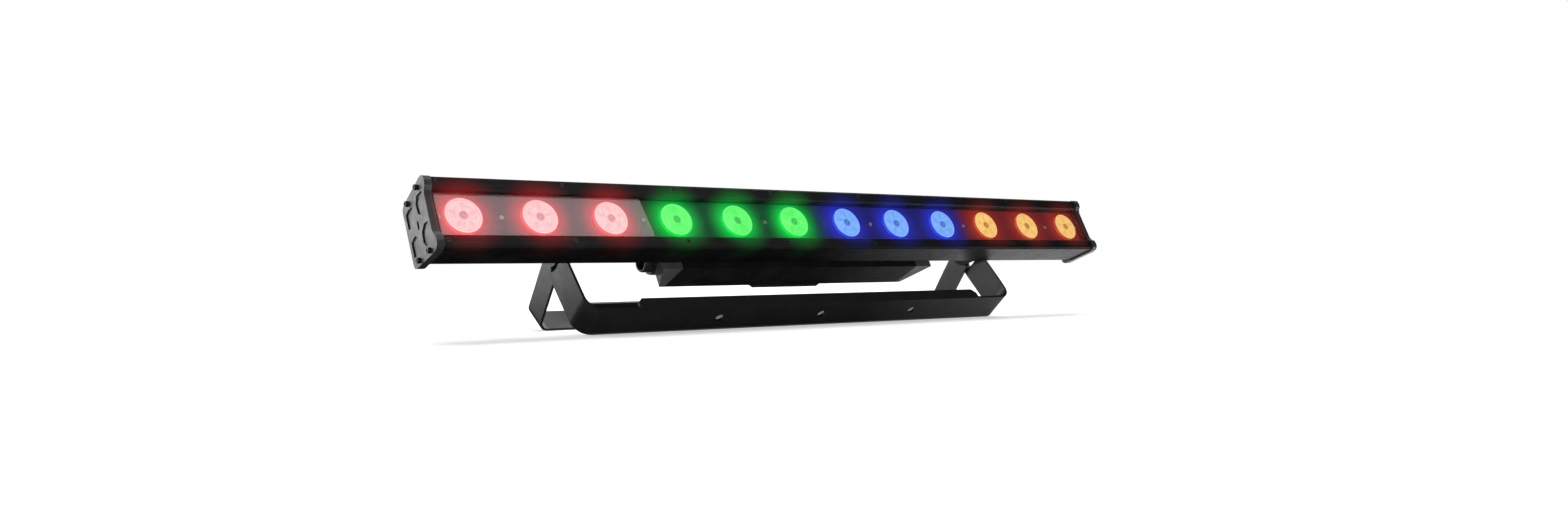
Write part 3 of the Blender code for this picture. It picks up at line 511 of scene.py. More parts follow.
def blackened_steel(name, light_and_shade_tone=1.0):
    """Dark oxide on steel, with fine turning marks and brighter spots."""
    # A factor above one makes a lighter copy of the steel: painted light
    dark = scaled((0.012, 0.012, 0.013), light_and_shade_tone)
    bright = scaled((0.06, 0.06, 0.062), light_and_shade_tone)
    recipe = Recipe(name, (0.02, 0.02, 0.02), 0.38, 0.85)
    spots = recipe.noise(420.0, 5.0)
    recipe.drive("Base Color", recipe.blend(recipe.remap(spots, 0.4, 0.7, 0.0, 1.0),
                                            dark, bright))
    recipe.drive("Roughness", recipe.remap(spots, 0.3, 0.7, 0.28, 0.5))
    recipe.relief(recipe.noise(3000.0, 3.0), 0.1, 0.0002)
    return recipe.material


def rubber(name="seal_rubber", colour=(0.018, 0.018, 0.018), glow=None):
    """Matt rubber with a fine moulded bloom."""
    recipe = Recipe(name, colour, 0.8)
    bloom = recipe.noise(220.0, 6.0)
    recipe.drive("Base Color", recipe.blend(bloom, colour, scaled(colour, 1.6)))
    recipe.drive("Roughness", recipe.remap(bloom, 0.3, 0.7, 0.7, 0.9))
    recipe.relief(recipe.cells(1800.0), 0.08, 0.0002)
    if glow is not None:
        spill_light(recipe, glow)
    return recipe.material


def moulded_plastic(name):
    """Black moulded plastic with an even spark texture."""
    colour = (0.016, 0.016, 0.017)
    recipe = Recipe(name, colour, 0.45)
    spark = recipe.cells(1900.0)
    recipe.drive("Base Color", recipe.blend(recipe.noise(60.0), colour, scaled(colour, 1.3)))
    recipe.drive("Roughness", recipe.remap(recipe.noise(150.0, 4.0), 0.3, 0.7, 0.38, 0.52))
    recipe.relief(spark, 0.18, 0.0002)
    return recipe.material


def clear_glass():
    """The toughened front window: clear, with a faint trace of dust in its gloss."""
    recipe = Recipe("front_window_glass", (0.97, 0.99, 0.99), 0.0)
    recipe.set("Transmission Weight", 1.0)
    recipe.set("IOR", 1.5)
    recipe.drive("Roughness", recipe.remap(recipe.noise(18.0, 6.0), 0.35, 0.75, 0.0, 0.012))
    return recipe.material


def smoked_glass():
    """The dark display pane."""
    recipe = Recipe("display_pane_glass", (0.02, 0.025, 0.03), 0.08)
    recipe.set("Coat Weight", 0.6)
    recipe.drive("Roughness", recipe.remap(recipe.noise(9.0, 2.0), 0.3, 0.7, 0.08, 0.1))
    recipe.drive("Base Color", recipe.blend(recipe.noise(6.0, 1.0), (0.02, 0.023, 0.026),
                                            (0.023, 0.027, 0.03)))
    return recipe.material


def circuit_board(name, mask, copper):
    """A board's solder mask with straight tracks and small pads under it."""
    recipe = Recipe(name, mask, 0.35)
    bricks = recipe.node("ShaderNodeTexBrick")
    recipe.feed(bricks.inputs["Vector"], recipe.coords)
    bricks.inputs["Scale"].default_value = 60.0
    bricks.inputs["Mortar Size"].default_value = 0.06
    pads = recipe.remap(recipe.cells(260.0), 0.12, 0.16, 1.0, 0.0)
    tracks = recipe.math("MAXIMUM", bricks.outputs["Fac"], pads)
    recipe.drive("Base Color", recipe.blend(tracks, mask, copper))
    recipe.drive("Roughness", recipe.remap(tracks, 0.0, 1.0, 0.4, 0.25))
    recipe.relief(tracks, 0.2, 0.0001)
    return recipe.material


def lens_plate_finish():
    """The plate round the lenses: satin black, with a painted glow of the lenses' light all over
    it and brighter painted rings of that light round each lens.
    """
    recipe = Recipe("lens_plate_satin", tuple(looks().plate_colour), 0.5)
    recipe.relief(recipe.cells(1200.0), 0.12, 0.0002)
    distance, _, x, _, _ = recipe.from_lens()
    ring = recipe.remap(distance, looks().lens_radius * 0.94, looks().halo_reach, 1.0, 0.0)
    halo = recipe.math("MULTIPLY", recipe.math("POWER", ring, 2.0), looks().halo_strength)
    item = looks()
    # Painted glow of the lenses' light on the plate, one colour for each group
    plate = [item.red_plate_glow, item.green_plate_glow, item.blue_plate_glow, item.amber_plate_glow]
    lit = recipe.blend(halo, recipe.lens_zones(x, plate), recipe.lens_zones(x, glow_colours()))
    recipe.drive("Emission Color", lit)
    recipe.drive("Emission Strength", recipe.remap(recipe.noise(30.0, 2.0), 0.3, 0.7, 0.9, 1.1))
    return recipe.material


def lit_lens(name, pale, glow):
    """A lit lens: a dark core, pale light with deeper facets, and a bright thin rim."""
    recipe = Recipe(name, tuple(pale), 0.12)
    recipe.set("Coat Weight", 0.4)
    distance, angle, _, _, _ = recipe.from_lens()
    share = recipe.math("DIVIDE", distance, looks().lens_radius)
    deeper = mixed(pale, 0.68, glow, 0.2)
    core = mixed(pale, 0.16, glow, 0.2)
    shade = mixed(pale, 0.45, glow, 0.3)
    facet = mixed(pale, 0.5, glow, 0.25)
    rim = tuple(min(1.0, channel * 1.1 + 0.06) for channel in pale)
    edge = scaled(glow, 0.8)
    # Rings from the middle outwards, each by its share of the radius
    rings = recipe.steps(share, [(0.0, rim), (0.05, core), (0.2, core), (0.25, deeper),
                                 (0.33, tuple(pale)), (0.8, tuple(pale)), (0.85, shade),
                                 (0.89, rim), (0.94, rim), (0.965, edge), (1.0, edge)])
    petals = recipe.math("SINE", recipe.math("MULTIPLY", angle, 5.0))
    band = recipe.math("MULTIPLY", recipe.remap(share, 0.25, 0.4, 0.0, 1.0),
                       recipe.remap(share, 0.7, 0.84, 1.0, 0.0))
    facets = recipe.noise(240.0, 2.0)
    petal_share = recipe.math("MULTIPLY", recipe.remap(petals, 0.2, 0.9, 0.0, 0.7), band)
    mottle = recipe.remap(facets, 0.4, 0.65, 0.0, 0.6)
    amount = recipe.math("MAXIMUM", petal_share, recipe.math("MULTIPLY", mottle, band))
    recipe.drive("Emission Color", recipe.blend(amount, rings, facet))
    recipe.drive("Emission Strength", recipe.remap(facets, 0.3, 0.7, looks().lens_strength,
                                                   looks().lens_strength * 0.86))
    recipe.relief(recipe.math("SINE", recipe.math("MULTIPLY", distance, 2600.0)), 0.12, 0.0003)
    return recipe.material


def pale_floor():
    """A plain pale floor with a very slight mottle."""
    colour = tuple(looks().floor_colour)
    recipe = Recipe("pale_floor", colour, 0.75)
    recipe.set("Specular IOR Level", 0.1)
    recipe.set("Emission Color", (1.0, 1.0, 1.0, 1.0))
    recipe.set("Emission Strength", looks().floor_light)
    recipe.drive("Base Color", recipe.blend(recipe.noise(3.0, 3.0), colour,
                                            scaled(colour, 0.985)))
    return recipe.material


# ---------------------------------------------------------------- what a user can change

def colour_property(name, description, default):
    """A colour swatch."""
    return bpy.props.FloatVectorProperty(name=name, description=description, default=default,
                                         subtype="COLOR", size=3, min=0.0, max=1.0)


def amount_property(name, description, default, low=0.0, **more):
    """A number that is never under a low limit."""
    return bpy.props.FloatProperty(name=name, description=description, default=default,
                                   min=low, **more)


def length_property(name, description, default, low=0.0):
    """A length."""
    return amount_property(name, description, default, low, unit="LENGTH")


class BattenLooks(bpy.types.PropertyGroup):
    """Colours, finishes and reach of the light."""

    coat_colour: colour_property("Coat", "Colour of the powder coat", (0.012, 0.012, 0.0122))
    plate_colour: colour_property("Lens plate", "Colour of the plate", (0.003, 0.0028, 0.003))
    red_glow: colour_property("Red light", "Light of the first lenses", (1.0, 0.02, 0.03))
    green_glow: colour_property("Green light", "Light of the second lenses", (0.0, 0.85, 0.08))
    blue_glow: colour_property("Blue light", "Light of the third lenses", (0.02, 0.035, 0.8))
    amber_glow: colour_property("Amber light", "Light of the last lenses", (0.5, 0.03, 0.018))
    # The painted glow of the plate beside each group of lenses
    red_plate_glow: colour_property("Red plate", "Plate by red lenses", (0.08, 0.007, 0.012))
    green_plate_glow: colour_property("Green plate", "Plate by green lenses", (0.0, 0.06, 0.016))
    blue_plate_glow: colour_property("Blue plate", "Plate by blue lenses", (0.01, 0.008, 0.15))
    amber_plate_glow: colour_property("Amber plate", "Plate by amber lenses", (0.15, 0.008, 0.01))
    red_lens: colour_property("Red lens", "Face of a red lens", (1.0, 0.47, 0.48))
    green_lens: colour_property("Green lens", "Face of a green lens", (0.14, 0.96, 0.17))
    blue_lens: colour_property("Blue lens", "Face of a blue lens", (0.22, 0.47, 0.96))
    amber_lens: colour_property("Amber lens", "Face of an amber lens", (1.0, 0.62, 0.19))
    floor_colour: colour_property("Floor", "Colour of the floor", (0.93, 0.93, 0.93))
    floor_light: amount_property("Floor light", "Light of the lit floor itself", 0.5)
    coat_gloss: amount_property("Coat gloss", "Strength of the coat's reflection", 0.42,
                                max=1.0, subtype="FACTOR")
    lens_radius: length_property("Lens radius", "Radius of a lens", 20.05 * MM, 5 * MM)
    halo_reach: length_property("Halo reach", "How far the halo reaches from a lens's middle",
                                44 * MM)
    spill_reach: length_property("Spill reach", "How far the light spills from a lens's middle",
                                 47 * MM)
    lens_strength: amount_property("Lens light", "Strength of the lit lenses", 1.0)
    halo_strength: amount_property("Halo light", "Strength of the halo on the plate", 0.72)
    rail_spill: amount_property("Rail spill", "Light that spills on the rails", 0.26)


class BattenSizes(bpy.types.PropertyGroup):
    """Sizes of the small hardware."""

    rail_screw_radius: length_property("Rail screw head", "Radius of a rail screw's head",
                                       2.7 * MM, 1 * MM)
    rail_screw_pitch: length_property("Rail screw pitch", "Distance between rail screws",
                                      137.3 * MM, 10 * MM)
    rail_screw_count: bpy.props.IntProperty(
        name="Rail screws", description="Screws on each rail", default=8, min=1)
    plate_screw_radius: length_property(
        "Plate screw head", "Radius of a lens plate screw's head", 2.3 * MM, 1 * MM)
    cap_screw_radius: length_property("Cap screw head", "Radius of an end cap screw's head",
                                      2.95 * MM, 1 * MM)
    edge_width: length_property("Edge", "Rounding of the coated edges", 0.45 * MM)


class BattenStudio(bpy.types.PropertyGroup):
    """The camera and the lights."""

    lens_mm: amount_property("Lens", "Focal length in millimetres", 28.74, 1.0)
    heading: bpy.props.FloatProperty(
        name="Heading", description="How far the camera looks to the right of the back",
        default=math.radians(38.41), subtype="ANGLE")
    pitch: bpy.props.FloatProperty(
        name="Pitch", description="How far the camera looks down",
        default=math.radians(0.26), subtype="ANGLE")
    camera_place: bpy.props.FloatVectorProperty(
        name="Camera", description="Camera, measured from the pivot",
        default=(-0.9714, -1.2224, 0.0015), subtype="TRANSLATION")
    surroundings: amount_property("Surroundings", "Light from all round", 0.04)
    overhead: amount_property("Overhead light", "Strength of the light from above", 1.75)
    key_power: amount_property("Side light", "Power of the light behind at the left", 22.0,
                               unit="POWER")
    rim_power: amount_property("Rim light", "Power of the light behind at the right", 14.0,
                               unit="POWER")
    sheet_power: amount_property("Sheet light", "Power of the light that the window reflects",
                                 4.0, unit="POWER")


# ---------------------------------------------------------------- operators

class BATTEN_OT_lenses(bpy.types.Operator):
    """Model the lit lenses: a ringed face, a rim step and a cone down to the LED"""

    bl_idname = "batten.lenses"
    bl_label = "Lenses"

    def execute(self, context):
        radius = looks().lens_radius
        steps = in_mm((8.5, -13.0), (12.0, -9.6), (15.6, -6.2), (18.6, -3.7))
        steps += [(radius, -3.6 * MM), (radius, -0.55 * MM),
                  (radius - 0.3 * MM, -0.15 * MM), (radius - 0.9 * MM, 0.0)]
        for ring in range(5):
            outer = radius * (0.9 - ring * 0.16)
            steps += [(outer, -0.05 * MM), (outer - 0.4 * MM, 0.12 * MM),
                      (outer - radius * 0.1, 0.16 * MM), (outer - radius * 0.13, 0.02 * MM)]
        steps += [(radius * 0.1, 0.05 * MM), (radius * 0.05, 0.18 * MM)]
        master = turn_up("lens_master", steps, 72)
        names = ("red", "green", "blue", "amber")
        finishes = [lit_lens(f"lit_lens_{name}", pale, glow)
                    for name, pale, glow in zip(names, lens_colours(), glow_colours())]
        for index in range(LENS_COUNT):
            group = index * len(names) // LENS_COUNT
            node = f"lens_{index + 1:02d}"
            x = (index - (LENS_COUNT - 1) / 2) * LENS_PITCH
            piece = copy_to(master, f"lit_{node}", in_head(x, LENS_FACE, 0.0) @ FACING_FRONT)
            hand_over(piece, f"lens_{names[group]}", finishes[group], node)
        bpy.data.objects.remove(master)
        return {"FINISHED"}


def socket_screw(name, radius, height, shaft_radius, shaft_length):
    """A socket-head screw about Z, its head's seat at zero: chamfered, with a hex recess."""
    screw = turn_up(name, [(shaft_radius, -shaft_length), (shaft_radius, 0.0), (radius, 0.0),
                           (radius, height * 0.86), (radius * 0.93, height)], 32)
    hex_recess(screw, radius * 0.55, height, height * 0.55)
    return close_mesh(screw, 30.0)


def set_screw(master, name, place, finish, *nodes):
    """A copy of a screw at its place in the lamp head."""
    hand_over(copy_to(master, name, place), "black_steel", finish, *nodes)


class BATTEN_OT_rail_screws(bpy.types.Operator):
    """Model the socket screws of both clamp rails"""

    bl_idname = "batten.rail_screws"
    bl_label = "Rail screws"

    def execute(self, context):
        sizes = context.scene.batten_sizes
        master = socket_screw("rail_screw_master", sizes.rail_screw_radius, 1.75 * MM,
                              1.2 * MM, 7.5 * MM)
        # Steel at 2.4 times its own colours: painted light caught by the screw heads
        finish = blackened_steel("rail_screw_steel", light_and_shade_tone=2.4)
        for rail, height in RAIL_SCREW_HEIGHTS.items():
            for index in range(sizes.rail_screw_count):
                x = (index - (sizes.rail_screw_count - 1) / 2) * sizes.rail_screw_pitch
                set_screw(master, f"rail_screw_{rail}_{index + 1}",
                          in_head(x, RAIL_SCREW_SEAT, height) @ FACING_FRONT, finish)
        bpy.data.objects.remove(master)
        return {"FINISHED"}


class BATTEN_OT_plate_screws(bpy.types.Operator):
    """Model the small screws between the lenses"""

    bl_idname = "batten.plate_screws"
    bl_label = "Lens plate screws"

    def execute(self, context):
        sizes = context.scene.batten_sizes
        master = socket_screw("plate_screw_master", sizes.plate_screw_radius, 1.3 * MM,
                              1.2 * MM, 6.0 * MM)
        finish = Recipe("plate_screw_zinc", (0.8, 0.78, 0.78), 0.3, 0.2)
        finish.drive("Roughness", finish.remap(finish.noise(500.0, 4.0), 0.3, 0.7, 0.22, 0.42))
        for index, place in enumerate(PLATE_SCREW_PLACES):
            x = (place - (LENS_COUNT - 1) / 2) * LENS_PITCH
            set_screw(master, f"plate_screw_{index + 1}",
                      in_head(x, PLATE_SCREW_SEAT, 0.0) @ FACING_FRONT, finish.material)
        bpy.data.objects.remove(master)
        return {"FINISHED"}


class BATTEN_OT_cap_screws(bpy.types.Operator):
    """Model the socket-head screws of the end caps"""

    bl_idname = "batten.cap_screws"
    bl_label = "End cap screws"

    def execute(self, context):
        sizes = context.scene.batten_sizes
        master = socket_screw("cap_screw_master", sizes.cap_screw_radius, 2.9 * MM,
                              1.2 * MM, 17.5 * MM)
        finish = blackened_steel("cap_screw_steel")
        for name, side in (("left", -1), ("right", 1)):
            for index in range(4):
                node = f"cap_screw_{name}_{index + 1}"
                seat = outer_x(node, side) - side * 3.0 * MM
                _, depth, height = node_middle_in_head(node)
                set_screw(master, f"{node}_head",
                          in_head(seat, depth, height) @ FACING_SIDE[side], finish, node)
        bpy.data.objects.remove(master)
        return {"FINISHED"}


class BATTEN_OT_housing(bpy.types.Operator):
    """Finish the bar's profile, its clamp rails and end caps"""

    bl_idname = "batten.housing"
    bl_label = "Bar housing"

    def execute(self, context):
        width = context.scene.batten_sizes.edge_width
        # The profile's coat at 0.4 of the coat colour is painted shade on the rails and the
        # bar's lower side
        smooth = coat("profile_coat", light_and_shade_tone=0.4, roughness=0.42, grain=0.7, gloss=0.45,
                      glow=looks().rail_spill)
        softened_node("housing_profile", "bar_housing", "coated_aluminium", smooth,
                      width * 0.7, corner=HOUSING_CORNER)
        for rail in ("top", "bottom"):
            softened_node(f"clamp_rail_{rail}", f"glass_rail_{rail}", "coated_aluminium",
                          smooth, width * 2.4, 3)
        # The end caps' coat at 1.5 of the coat colour is painted light on their lit faces
        cast = coat("cast_coat", light_and_shade_tone=1.5, roughness=0.42, grain=1.5, gloss=2.1,
                    glow=looks().rail_spill)
        for side in ("left", "right"):
            softened_node(f"end_cap_{side}", f"cast_end_{side}", "coated_casting", cast,
                          width * 1.2, 3)
        return {"FINISHED"}


class BATTEN_OT_brackets(bpy.types.Operator):
    """Finish the two bent brackets"""

    bl_idname = "batten.brackets"
    bl_label = "Brackets"

    def execute(self, context):
        width = context.scene.batten_sizes.edge_width
        finish = coat("bracket_coat", light_and_shade_tone=1.15, roughness=0.4, grain=1.0, gloss=1.1)
        softened_node("front_bracket", "outer_bracket", "bracket_coating", finish, width,
                      body="front_yoke")
        softened_node("rear_bracket", "inner_bracket", "bracket_coating", finish, width,
                      body="rear_yoke")
        return {"FINISHED"}


class BATTEN_OT_driver_box(bpy.types.Operator):
    """Finish the driver box, its cast ends, the control panel and the pivot ears"""

    bl_idname = "batten.driver_box"
    bl_label = "Driver box"

    def execute(self, context):
        width = context.scene.batten_sizes.edge_width
        # The box coat at 0.7 of the coat colour paints light and shade on the box's faces; the
        # cast ends at 6.0 of it are painted light on their lit faces
        smooth = coat("box_coat", light_and_shade_tone=0.7, roughness=0.5, grain=0.8, gloss=0.4)
        cast = coat("box_cast_coat", light_and_shade_tone=6.0, roughness=0.46, grain=1.4, gloss=1.8)
        softened_node("driver_shell", "box_shell", "coated_aluminium", smooth, width)
        for side in ("left", "right"):
            softened_node(f"driver_cap_{side}", f"box_end_{side}", "coated_casting", cast,
                          width * 1.6, 3)
            softened_node(f"pivot_ear_{side}", f"bar_ear_{side}", "coated_aluminium", smooth,
                          width * 0.6)
        softened_node("control_panel", "panel_cover", "black_plastic",
                      moulded_plastic("panel_plastic"), width)
        return {"FINISHED"}


class BATTEN_OT_connectors(bpy.types.Operator):
    """Model the round connectors: a ribbed collar, its flange and the contact pins"""

    bl_idname = "batten.connectors"
    bl_label = "Connectors"

    def collar(self):
        """The collar about Z, its flange's seat at zero."""
        piece = turn_up("collar_master", in_mm(
            (10.9, -19.0), (10.9, 0.3), (14.0, 0.3), (14.0, 1.9), (13.4, 2.4), (11.0, 2.4),
            (11.0, 4.0), (10.4, 4.4), (10.4, 5.4), (11.0, 5.8), (11.0, 12.6), (10.3, 13.6),
            (8.8, 13.6), (8.6, 13.0), (8.6, 2.2), (0.6, 2.2)))
        ribs = []
        for index in range(12):
            clear_selection()
            angle = index * math.pi / 6
            bpy.ops.mesh.primitive_cube_add(size=1)
            rib = bpy.context.object
            rib.scale = (0.7 * MM, 2.0 * MM, 5.2 * MM)
            bpy.ops.object.transform_apply(location=True, rotation=True, scale=True)
            rib.data.transform(Matrix.Rotation(angle, 4, "Z")
                               @ Matrix.Translation((10.9 * MM, 0, 9.3 * MM)))
            soften(rib, 0.25 * MM, 2)
            ribs.append(rib)
        return merge(piece, ribs)

    def contacts(self, count):
        """The collar with its contact pins."""
        pins = []
        for index in range(count):
            pin = turn_up("contact", in_mm((1.0, 1.8), (1.0, 8.6), (0.6, 9.2)), 16)
            angle = 2 * math.pi * index / count + math.pi / 2
            pin.data.transform(Matrix.Translation((5.0 * MM * math.cos(angle),
                                                   5.0 * MM * math.sin(angle), 0)))
            pins.append(pin)
        return merge(self.collar(), pins)

    def execute(self, context):
        finish = moulded_plastic("connector_plastic")
        for count, nodes in ((3, ("power_inlet", "power_outlet")),
                             (5, ("data_input", "data_output"))):
            master = self.contacts(count)
            for node in nodes:
                x, depth, height = node_middle_in_head(node)
                side = -1 if x < 0 else 1
                place = in_head(outer_x(node, side) - side * 13.7 * MM, depth, height)
                piece = copy_to(master, f"{node}_socket", place @ FACING_SIDE[side])
                hand_over(piece, "black_plastic", finish, node)
            bpy.data.objects.remove(master)
        return {"FINISHED"}


class BATTEN_OT_pivots(bpy.types.Operator):
    """Model the pivot bolts and finish their nuts"""

    bl_idname = "batten.pivots"
    bl_label = "Pivot bolts"

    def execute(self, context):
        finish = blackened_steel("pivot_steel")
        master = turn_up("bolt_master", in_mm(
            (3.95, -21.0), (3.95, 0.0), (6.8, 0.0), (6.8, 1.6), (6.2, 2.9), (5.0, 3.8),
            (4.4, 4.15)))
        hex_recess(master, 2.9 * MM, 4.15 * MM, 2.4 * MM)
        close_mesh(master, 30.0)
        for name, side in (("left", -1), ("right", 1)):
            node = f"pivot_bolt_{name}"
            seat = outer_x(node, side) - side * 4.2 * MM
            place = Matrix.Translation((seat, PIVOT.y, PIVOT.z))
            set_screw(master, f"{node}_head", place @ FACING_SIDE[side], finish, node)
            softened_node(f"pivot_nut_{name}", f"pivot_nut_{name}_hex", "black_steel", finish,
                          0.35 * MM)
        bpy.data.objects.remove(master)
        return {"FINISHED"}


class BATTEN_OT_back_screws(bpy.types.Operator):
    """Model the screws of the pivot ears, of the driver box and of the control panel"""

    bl_idname = "batten.back_screws"
    bl_label = "Screws behind"

    def four(self, master, name, xs, depth, half_height, finish):
        """Four screws seen from behind: two at each X, above and below the middle."""
        number = 0
        for x in xs:
            for height in (-half_height, half_height):
                number += 1
                set_screw(master, f"{name}_{number}",
                          in_head(x, depth, height) @ FACING_BACK, finish)

    def execute(self, context):
        finish = blackened_steel("back_screw_steel")
        master = socket_screw("ear_screw_master", 3.4 * MM, 2.4 * MM, 1.7 * MM, 9.0 * MM)
        for name, side in (("left", -1), ("right", 1)):
            self.four(master, f"ear_screw_{name}", [side * x for x in EAR_SCREW_X],
                      EAR_SCREW_SEAT, BETWEEN_FINS, finish)
        self.four(master, "box_screw", BOX_SCREW_X, BOX_SCREW_SEAT, BETWEEN_FINS, finish)
        bpy.data.objects.remove(master)
        master = socket_screw("panel_screw_master", 3.0 * MM, 1.8 * MM, 1.5 * MM, 6.5 * MM)
        self.four(master, "panel_screw", PANEL_SCREW_X, PANEL_SCREW_SEAT, PANEL_SCREW_HEIGHT,
                  finish)
        bpy.data.objects.remove(master)
        return {"FINISHED"}


class BATTEN_OT_buttons(bpy.types.Operator):
    """Model the domed menu buttons"""

    bl_idname = "batten.buttons"
    bl_label = "Menu buttons"

    def execute(self, context):
        master = turn_up("button_master", in_mm(
            (6.1, -3.5), (6.1, -2.35), (4.95, -2.3), (4.95, 0.5), (4.8, 0.85), (4.4, 1.1),
            (3.6, 1.12), (2.6, 0.95), (1.2, 0.85)), 40)
        finish = rubber("button_rubber", (0.03, 0.03, 0.031))
        for index in range(4):
            node = f"menu_button_{index + 1}"
            x, _, height = node_middle_in_head(node)
            piece = copy_to(master, f"{node}_key",
                            in_head(x, BUTTON_SEAT, height) @ FACING_BACK)
            hand_over(piece, "rubber", finish, node, body=f"button_{index + 1}")
        bpy.data.objects.remove(master)
        return {"FINISHED"}


class BATTEN_OT_vent(bpy.types.Operator):
    """Model the breather vent: a ribbed cap over a short collar"""

    bl_idname = "batten.vent"
    bl_label = "Breather vent"

    def execute(self, context):
        piece = turn_up("vent_cap", in_mm(
            (3.3, -3.5), (3.3, 0.0), (7.0, 0.0), (7.0, 0.8), (5.9, 1.0), (5.9, 1.5), (6.8, 1.7),
            (6.8, 3.2), (6.1, 3.9), (2.4, 3.9), (2.0, 3.4)), 40)
        x = node_middle_in_head("breather_vent")[0]
        piece.data.transform(in_head(x, VENT_SEAT, 0.0) @ FACING_BACK)
        hand_over(piece, "black_plastic", moulded_plastic("vent_plastic"), "breather_vent")
        return {"FINISHED"}


class BATTEN_OT_kept_nodes(bpy.types.Operator):
    """Give the nodes that keep their own shape a finish"""

    bl_idname = "batten.kept_nodes"
    bl_label = "Glass, boards and seals"

    def execute(self, context):
        black = rubber(glow=looks().rail_spill * 1.5)
        finishes = {
            "front_glass": clear_glass(),
            "glass_seal": black,
            "end_seal_left": black,
            "end_seal_right": black,
            "wire_bush": black,
            "lens_plate": lens_plate_finish(),
            "led_board": circuit_board("led_board_mask", (0.62, 0.62, 0.6), (0.75, 0.74, 0.7)),
            "driver_board": circuit_board("power_board_mask", (0.012, 0.07, 0.03),
                                          (0.03, 0.13, 0.05)),
            "control_board": circuit_board("control_board_mask", (0.01, 0.06, 0.03),
                                           (0.03, 0.12, 0.05)),
            "display_window": smoked_glass(),
        }
        for side in ("left", "right"):
            for place in ("inner", "outer"):
                finishes[f"friction_washer_{side}_{place}"] = black
        for node, finish in finishes.items():
            mesh = frame["nodes"][node].data
            mesh.materials.clear()
            mesh.materials.append(finish)
        return {"FINISHED"}


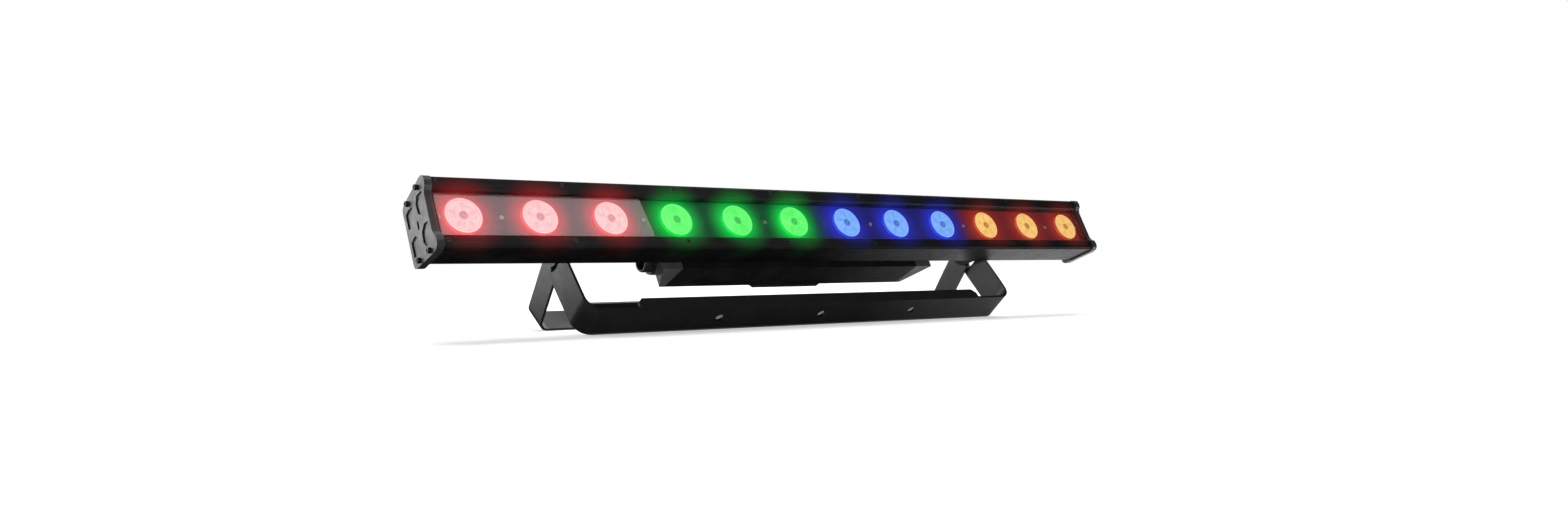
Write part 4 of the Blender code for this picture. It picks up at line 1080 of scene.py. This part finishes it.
class BATTEN_OT_stage(bpy.types.Operator):
    """Set the floor, the lights and the camera"""

    bl_idname = "batten.stage"
    bl_label = "Floor, lights and camera"

    def area(self, name, place, aim, sides, power):
        """One soft panel of light that the camera doesn't see."""
        data = bpy.data.lights.new(name, "AREA")
        data.shape = "RECTANGLE"
        data.size, data.size_y = sides
        data.energy = power
        lamp = add_object(name, data)
        lamp.location = place
        direction = Vector(aim) - Vector(place)
        lamp.rotation_euler = direction.to_track_quat("-Z", "Y").to_euler()
        lamp.visible_camera = False

    def dark_card(self, name, place, size):
        """A black card on the floor, fading to the right, that only the glossy coats see:
        painted shade of the floor under the bar in their reflections.
        """
        clear_selection()
        bpy.ops.mesh.primitive_grid_add(x_subdivisions=4, y_subdivisions=4, size=1.0)
        card = bpy.context.object
        card.name = name
        card.data.transform(Matrix.Translation(place) @ Matrix.Diagonal((*size, 1.0)))
        finish = Recipe("card_black", (0.003, 0.003, 0.003), 0.9)
        finish.set("Specular IOR Level", 0.0)
        finish.drive("Roughness", finish.remap(finish.noise(20.0), 0.3, 0.7, 0.85, 0.95))
        split = finish.node("ShaderNodeSeparateXYZ")
        finish.feed(split.inputs[0], finish.coords)
        finish.drive("Alpha", finish.remap(split.outputs["X"], *CARD_FADE, 1.0, 0.0))
        card.data.materials.append(finish.material)
        card.visible_camera = False
        card.visible_diffuse = False
        card.visible_shadow = False
        card.visible_transmission = False

    def execute(self, context):
        studio = context.scene.batten_studio
        clear_selection()
        bpy.ops.mesh.primitive_grid_add(x_subdivisions=8, y_subdivisions=8, size=FLOOR_SIZE)
        floor = context.object
        floor.name = "studio_floor"
        floor.data.materials.append(pale_floor())
        self.dark_card("dark_card", CARD_PLACE, CARD_SIZE)

        world = bpy.data.worlds.new("studio")
        world.use_nodes = True
        tree = world.node_tree
        shade = tree.nodes["Background"]
        seen = tree.nodes.new("ShaderNodeLightPath")
        level = tree.nodes.new("ShaderNodeMapRange")
        level.inputs["To Min"].default_value = studio.surroundings
        level.inputs["To Max"].default_value = 1.0
        tree.links.new(seen.outputs["Is Camera Ray"], level.inputs["Value"])
        tree.links.new(level.outputs[0], shade.inputs["Strength"])
        shade.inputs["Color"].default_value = (1.0, 1.0, 1.0, 1.0)
        context.scene.world = world

        for name, (place, aim, sides, power) in PANELS.items():
            self.area(name, place, aim, sides, getattr(studio, power))
        sun = bpy.data.lights.new("overhead_light", "SUN")
        sun.energy = studio.overhead
        sun.angle = SUN_SPREAD
        overhead = add_object("overhead_light", sun)
        overhead.rotation_euler = (SUN_TILT, 0.0, 0.0)

        data = bpy.data.cameras.new("camera")
        data.sensor_width = SENSOR_WIDTH
        data.lens = studio.lens_mm
        data.clip_start = 0.01
        camera = add_object("camera", data)
        camera.location = PIVOT + Vector(studio.camera_place)
        camera.rotation_euler = (math.radians(90.0) - studio.pitch, 0.0, -studio.heading)
        context.scene.camera = camera
        context.scene.view_settings.view_transform = "Standard"
        return {"FINISHED"}


class BATTEN_PT_panel(bpy.types.Panel):
    """The steps that finish the batten, in order"""

    bl_idname = "BATTEN_PT_panel"
    bl_label = "LED strip batten"
    bl_space_type = "VIEW_3D"
    bl_region_type = "UI"
    bl_category = "Batten"

    def draw(self, context):
        for operator in OPERATORS:
            self.layout.operator(operator.bl_idname)
        for group in (context.scene.batten_looks, context.scene.batten_sizes,
                      context.scene.batten_studio):
            box = self.layout.box()
            for name in group.__annotations__:
                box.prop(group, name)


OPERATORS = (
    BATTEN_OT_housing,
    BATTEN_OT_lenses,
    BATTEN_OT_rail_screws,
    BATTEN_OT_plate_screws,
    BATTEN_OT_cap_screws,
    BATTEN_OT_brackets,
    BATTEN_OT_driver_box,
    BATTEN_OT_connectors,
    BATTEN_OT_pivots,
    BATTEN_OT_back_screws,
    BATTEN_OT_buttons,
    BATTEN_OT_vent,
    BATTEN_OT_kept_nodes,
    BATTEN_OT_stage,
)
GROUPS = {"batten_looks": BattenLooks, "batten_sizes": BattenSizes,
          "batten_studio": BattenStudio}


def register():
    """Register the settings, the operators and the panel."""
    for name, group in GROUPS.items():
        bpy.utils.register_class(group)
        setattr(bpy.types.Scene, name, bpy.props.PointerProperty(type=group))
    for item in (*OPERATORS, BATTEN_PT_panel):
        bpy.utils.register_class(item)


def unregister():
    """Take everything out again."""
    for item in reversed((*OPERATORS, BATTEN_PT_panel)):
        bpy.utils.unregister_class(item)
    for name, group in GROUPS.items():
        delattr(bpy.types.Scene, name)
        bpy.utils.unregister_class(group)


def main():
    """Run every step."""
    register()
    for operator in OPERATORS:
        group, name = operator.bl_idname.split(".")
        getattr(getattr(bpy.ops, group), name)()


if __name__ == "__main__":
    main()
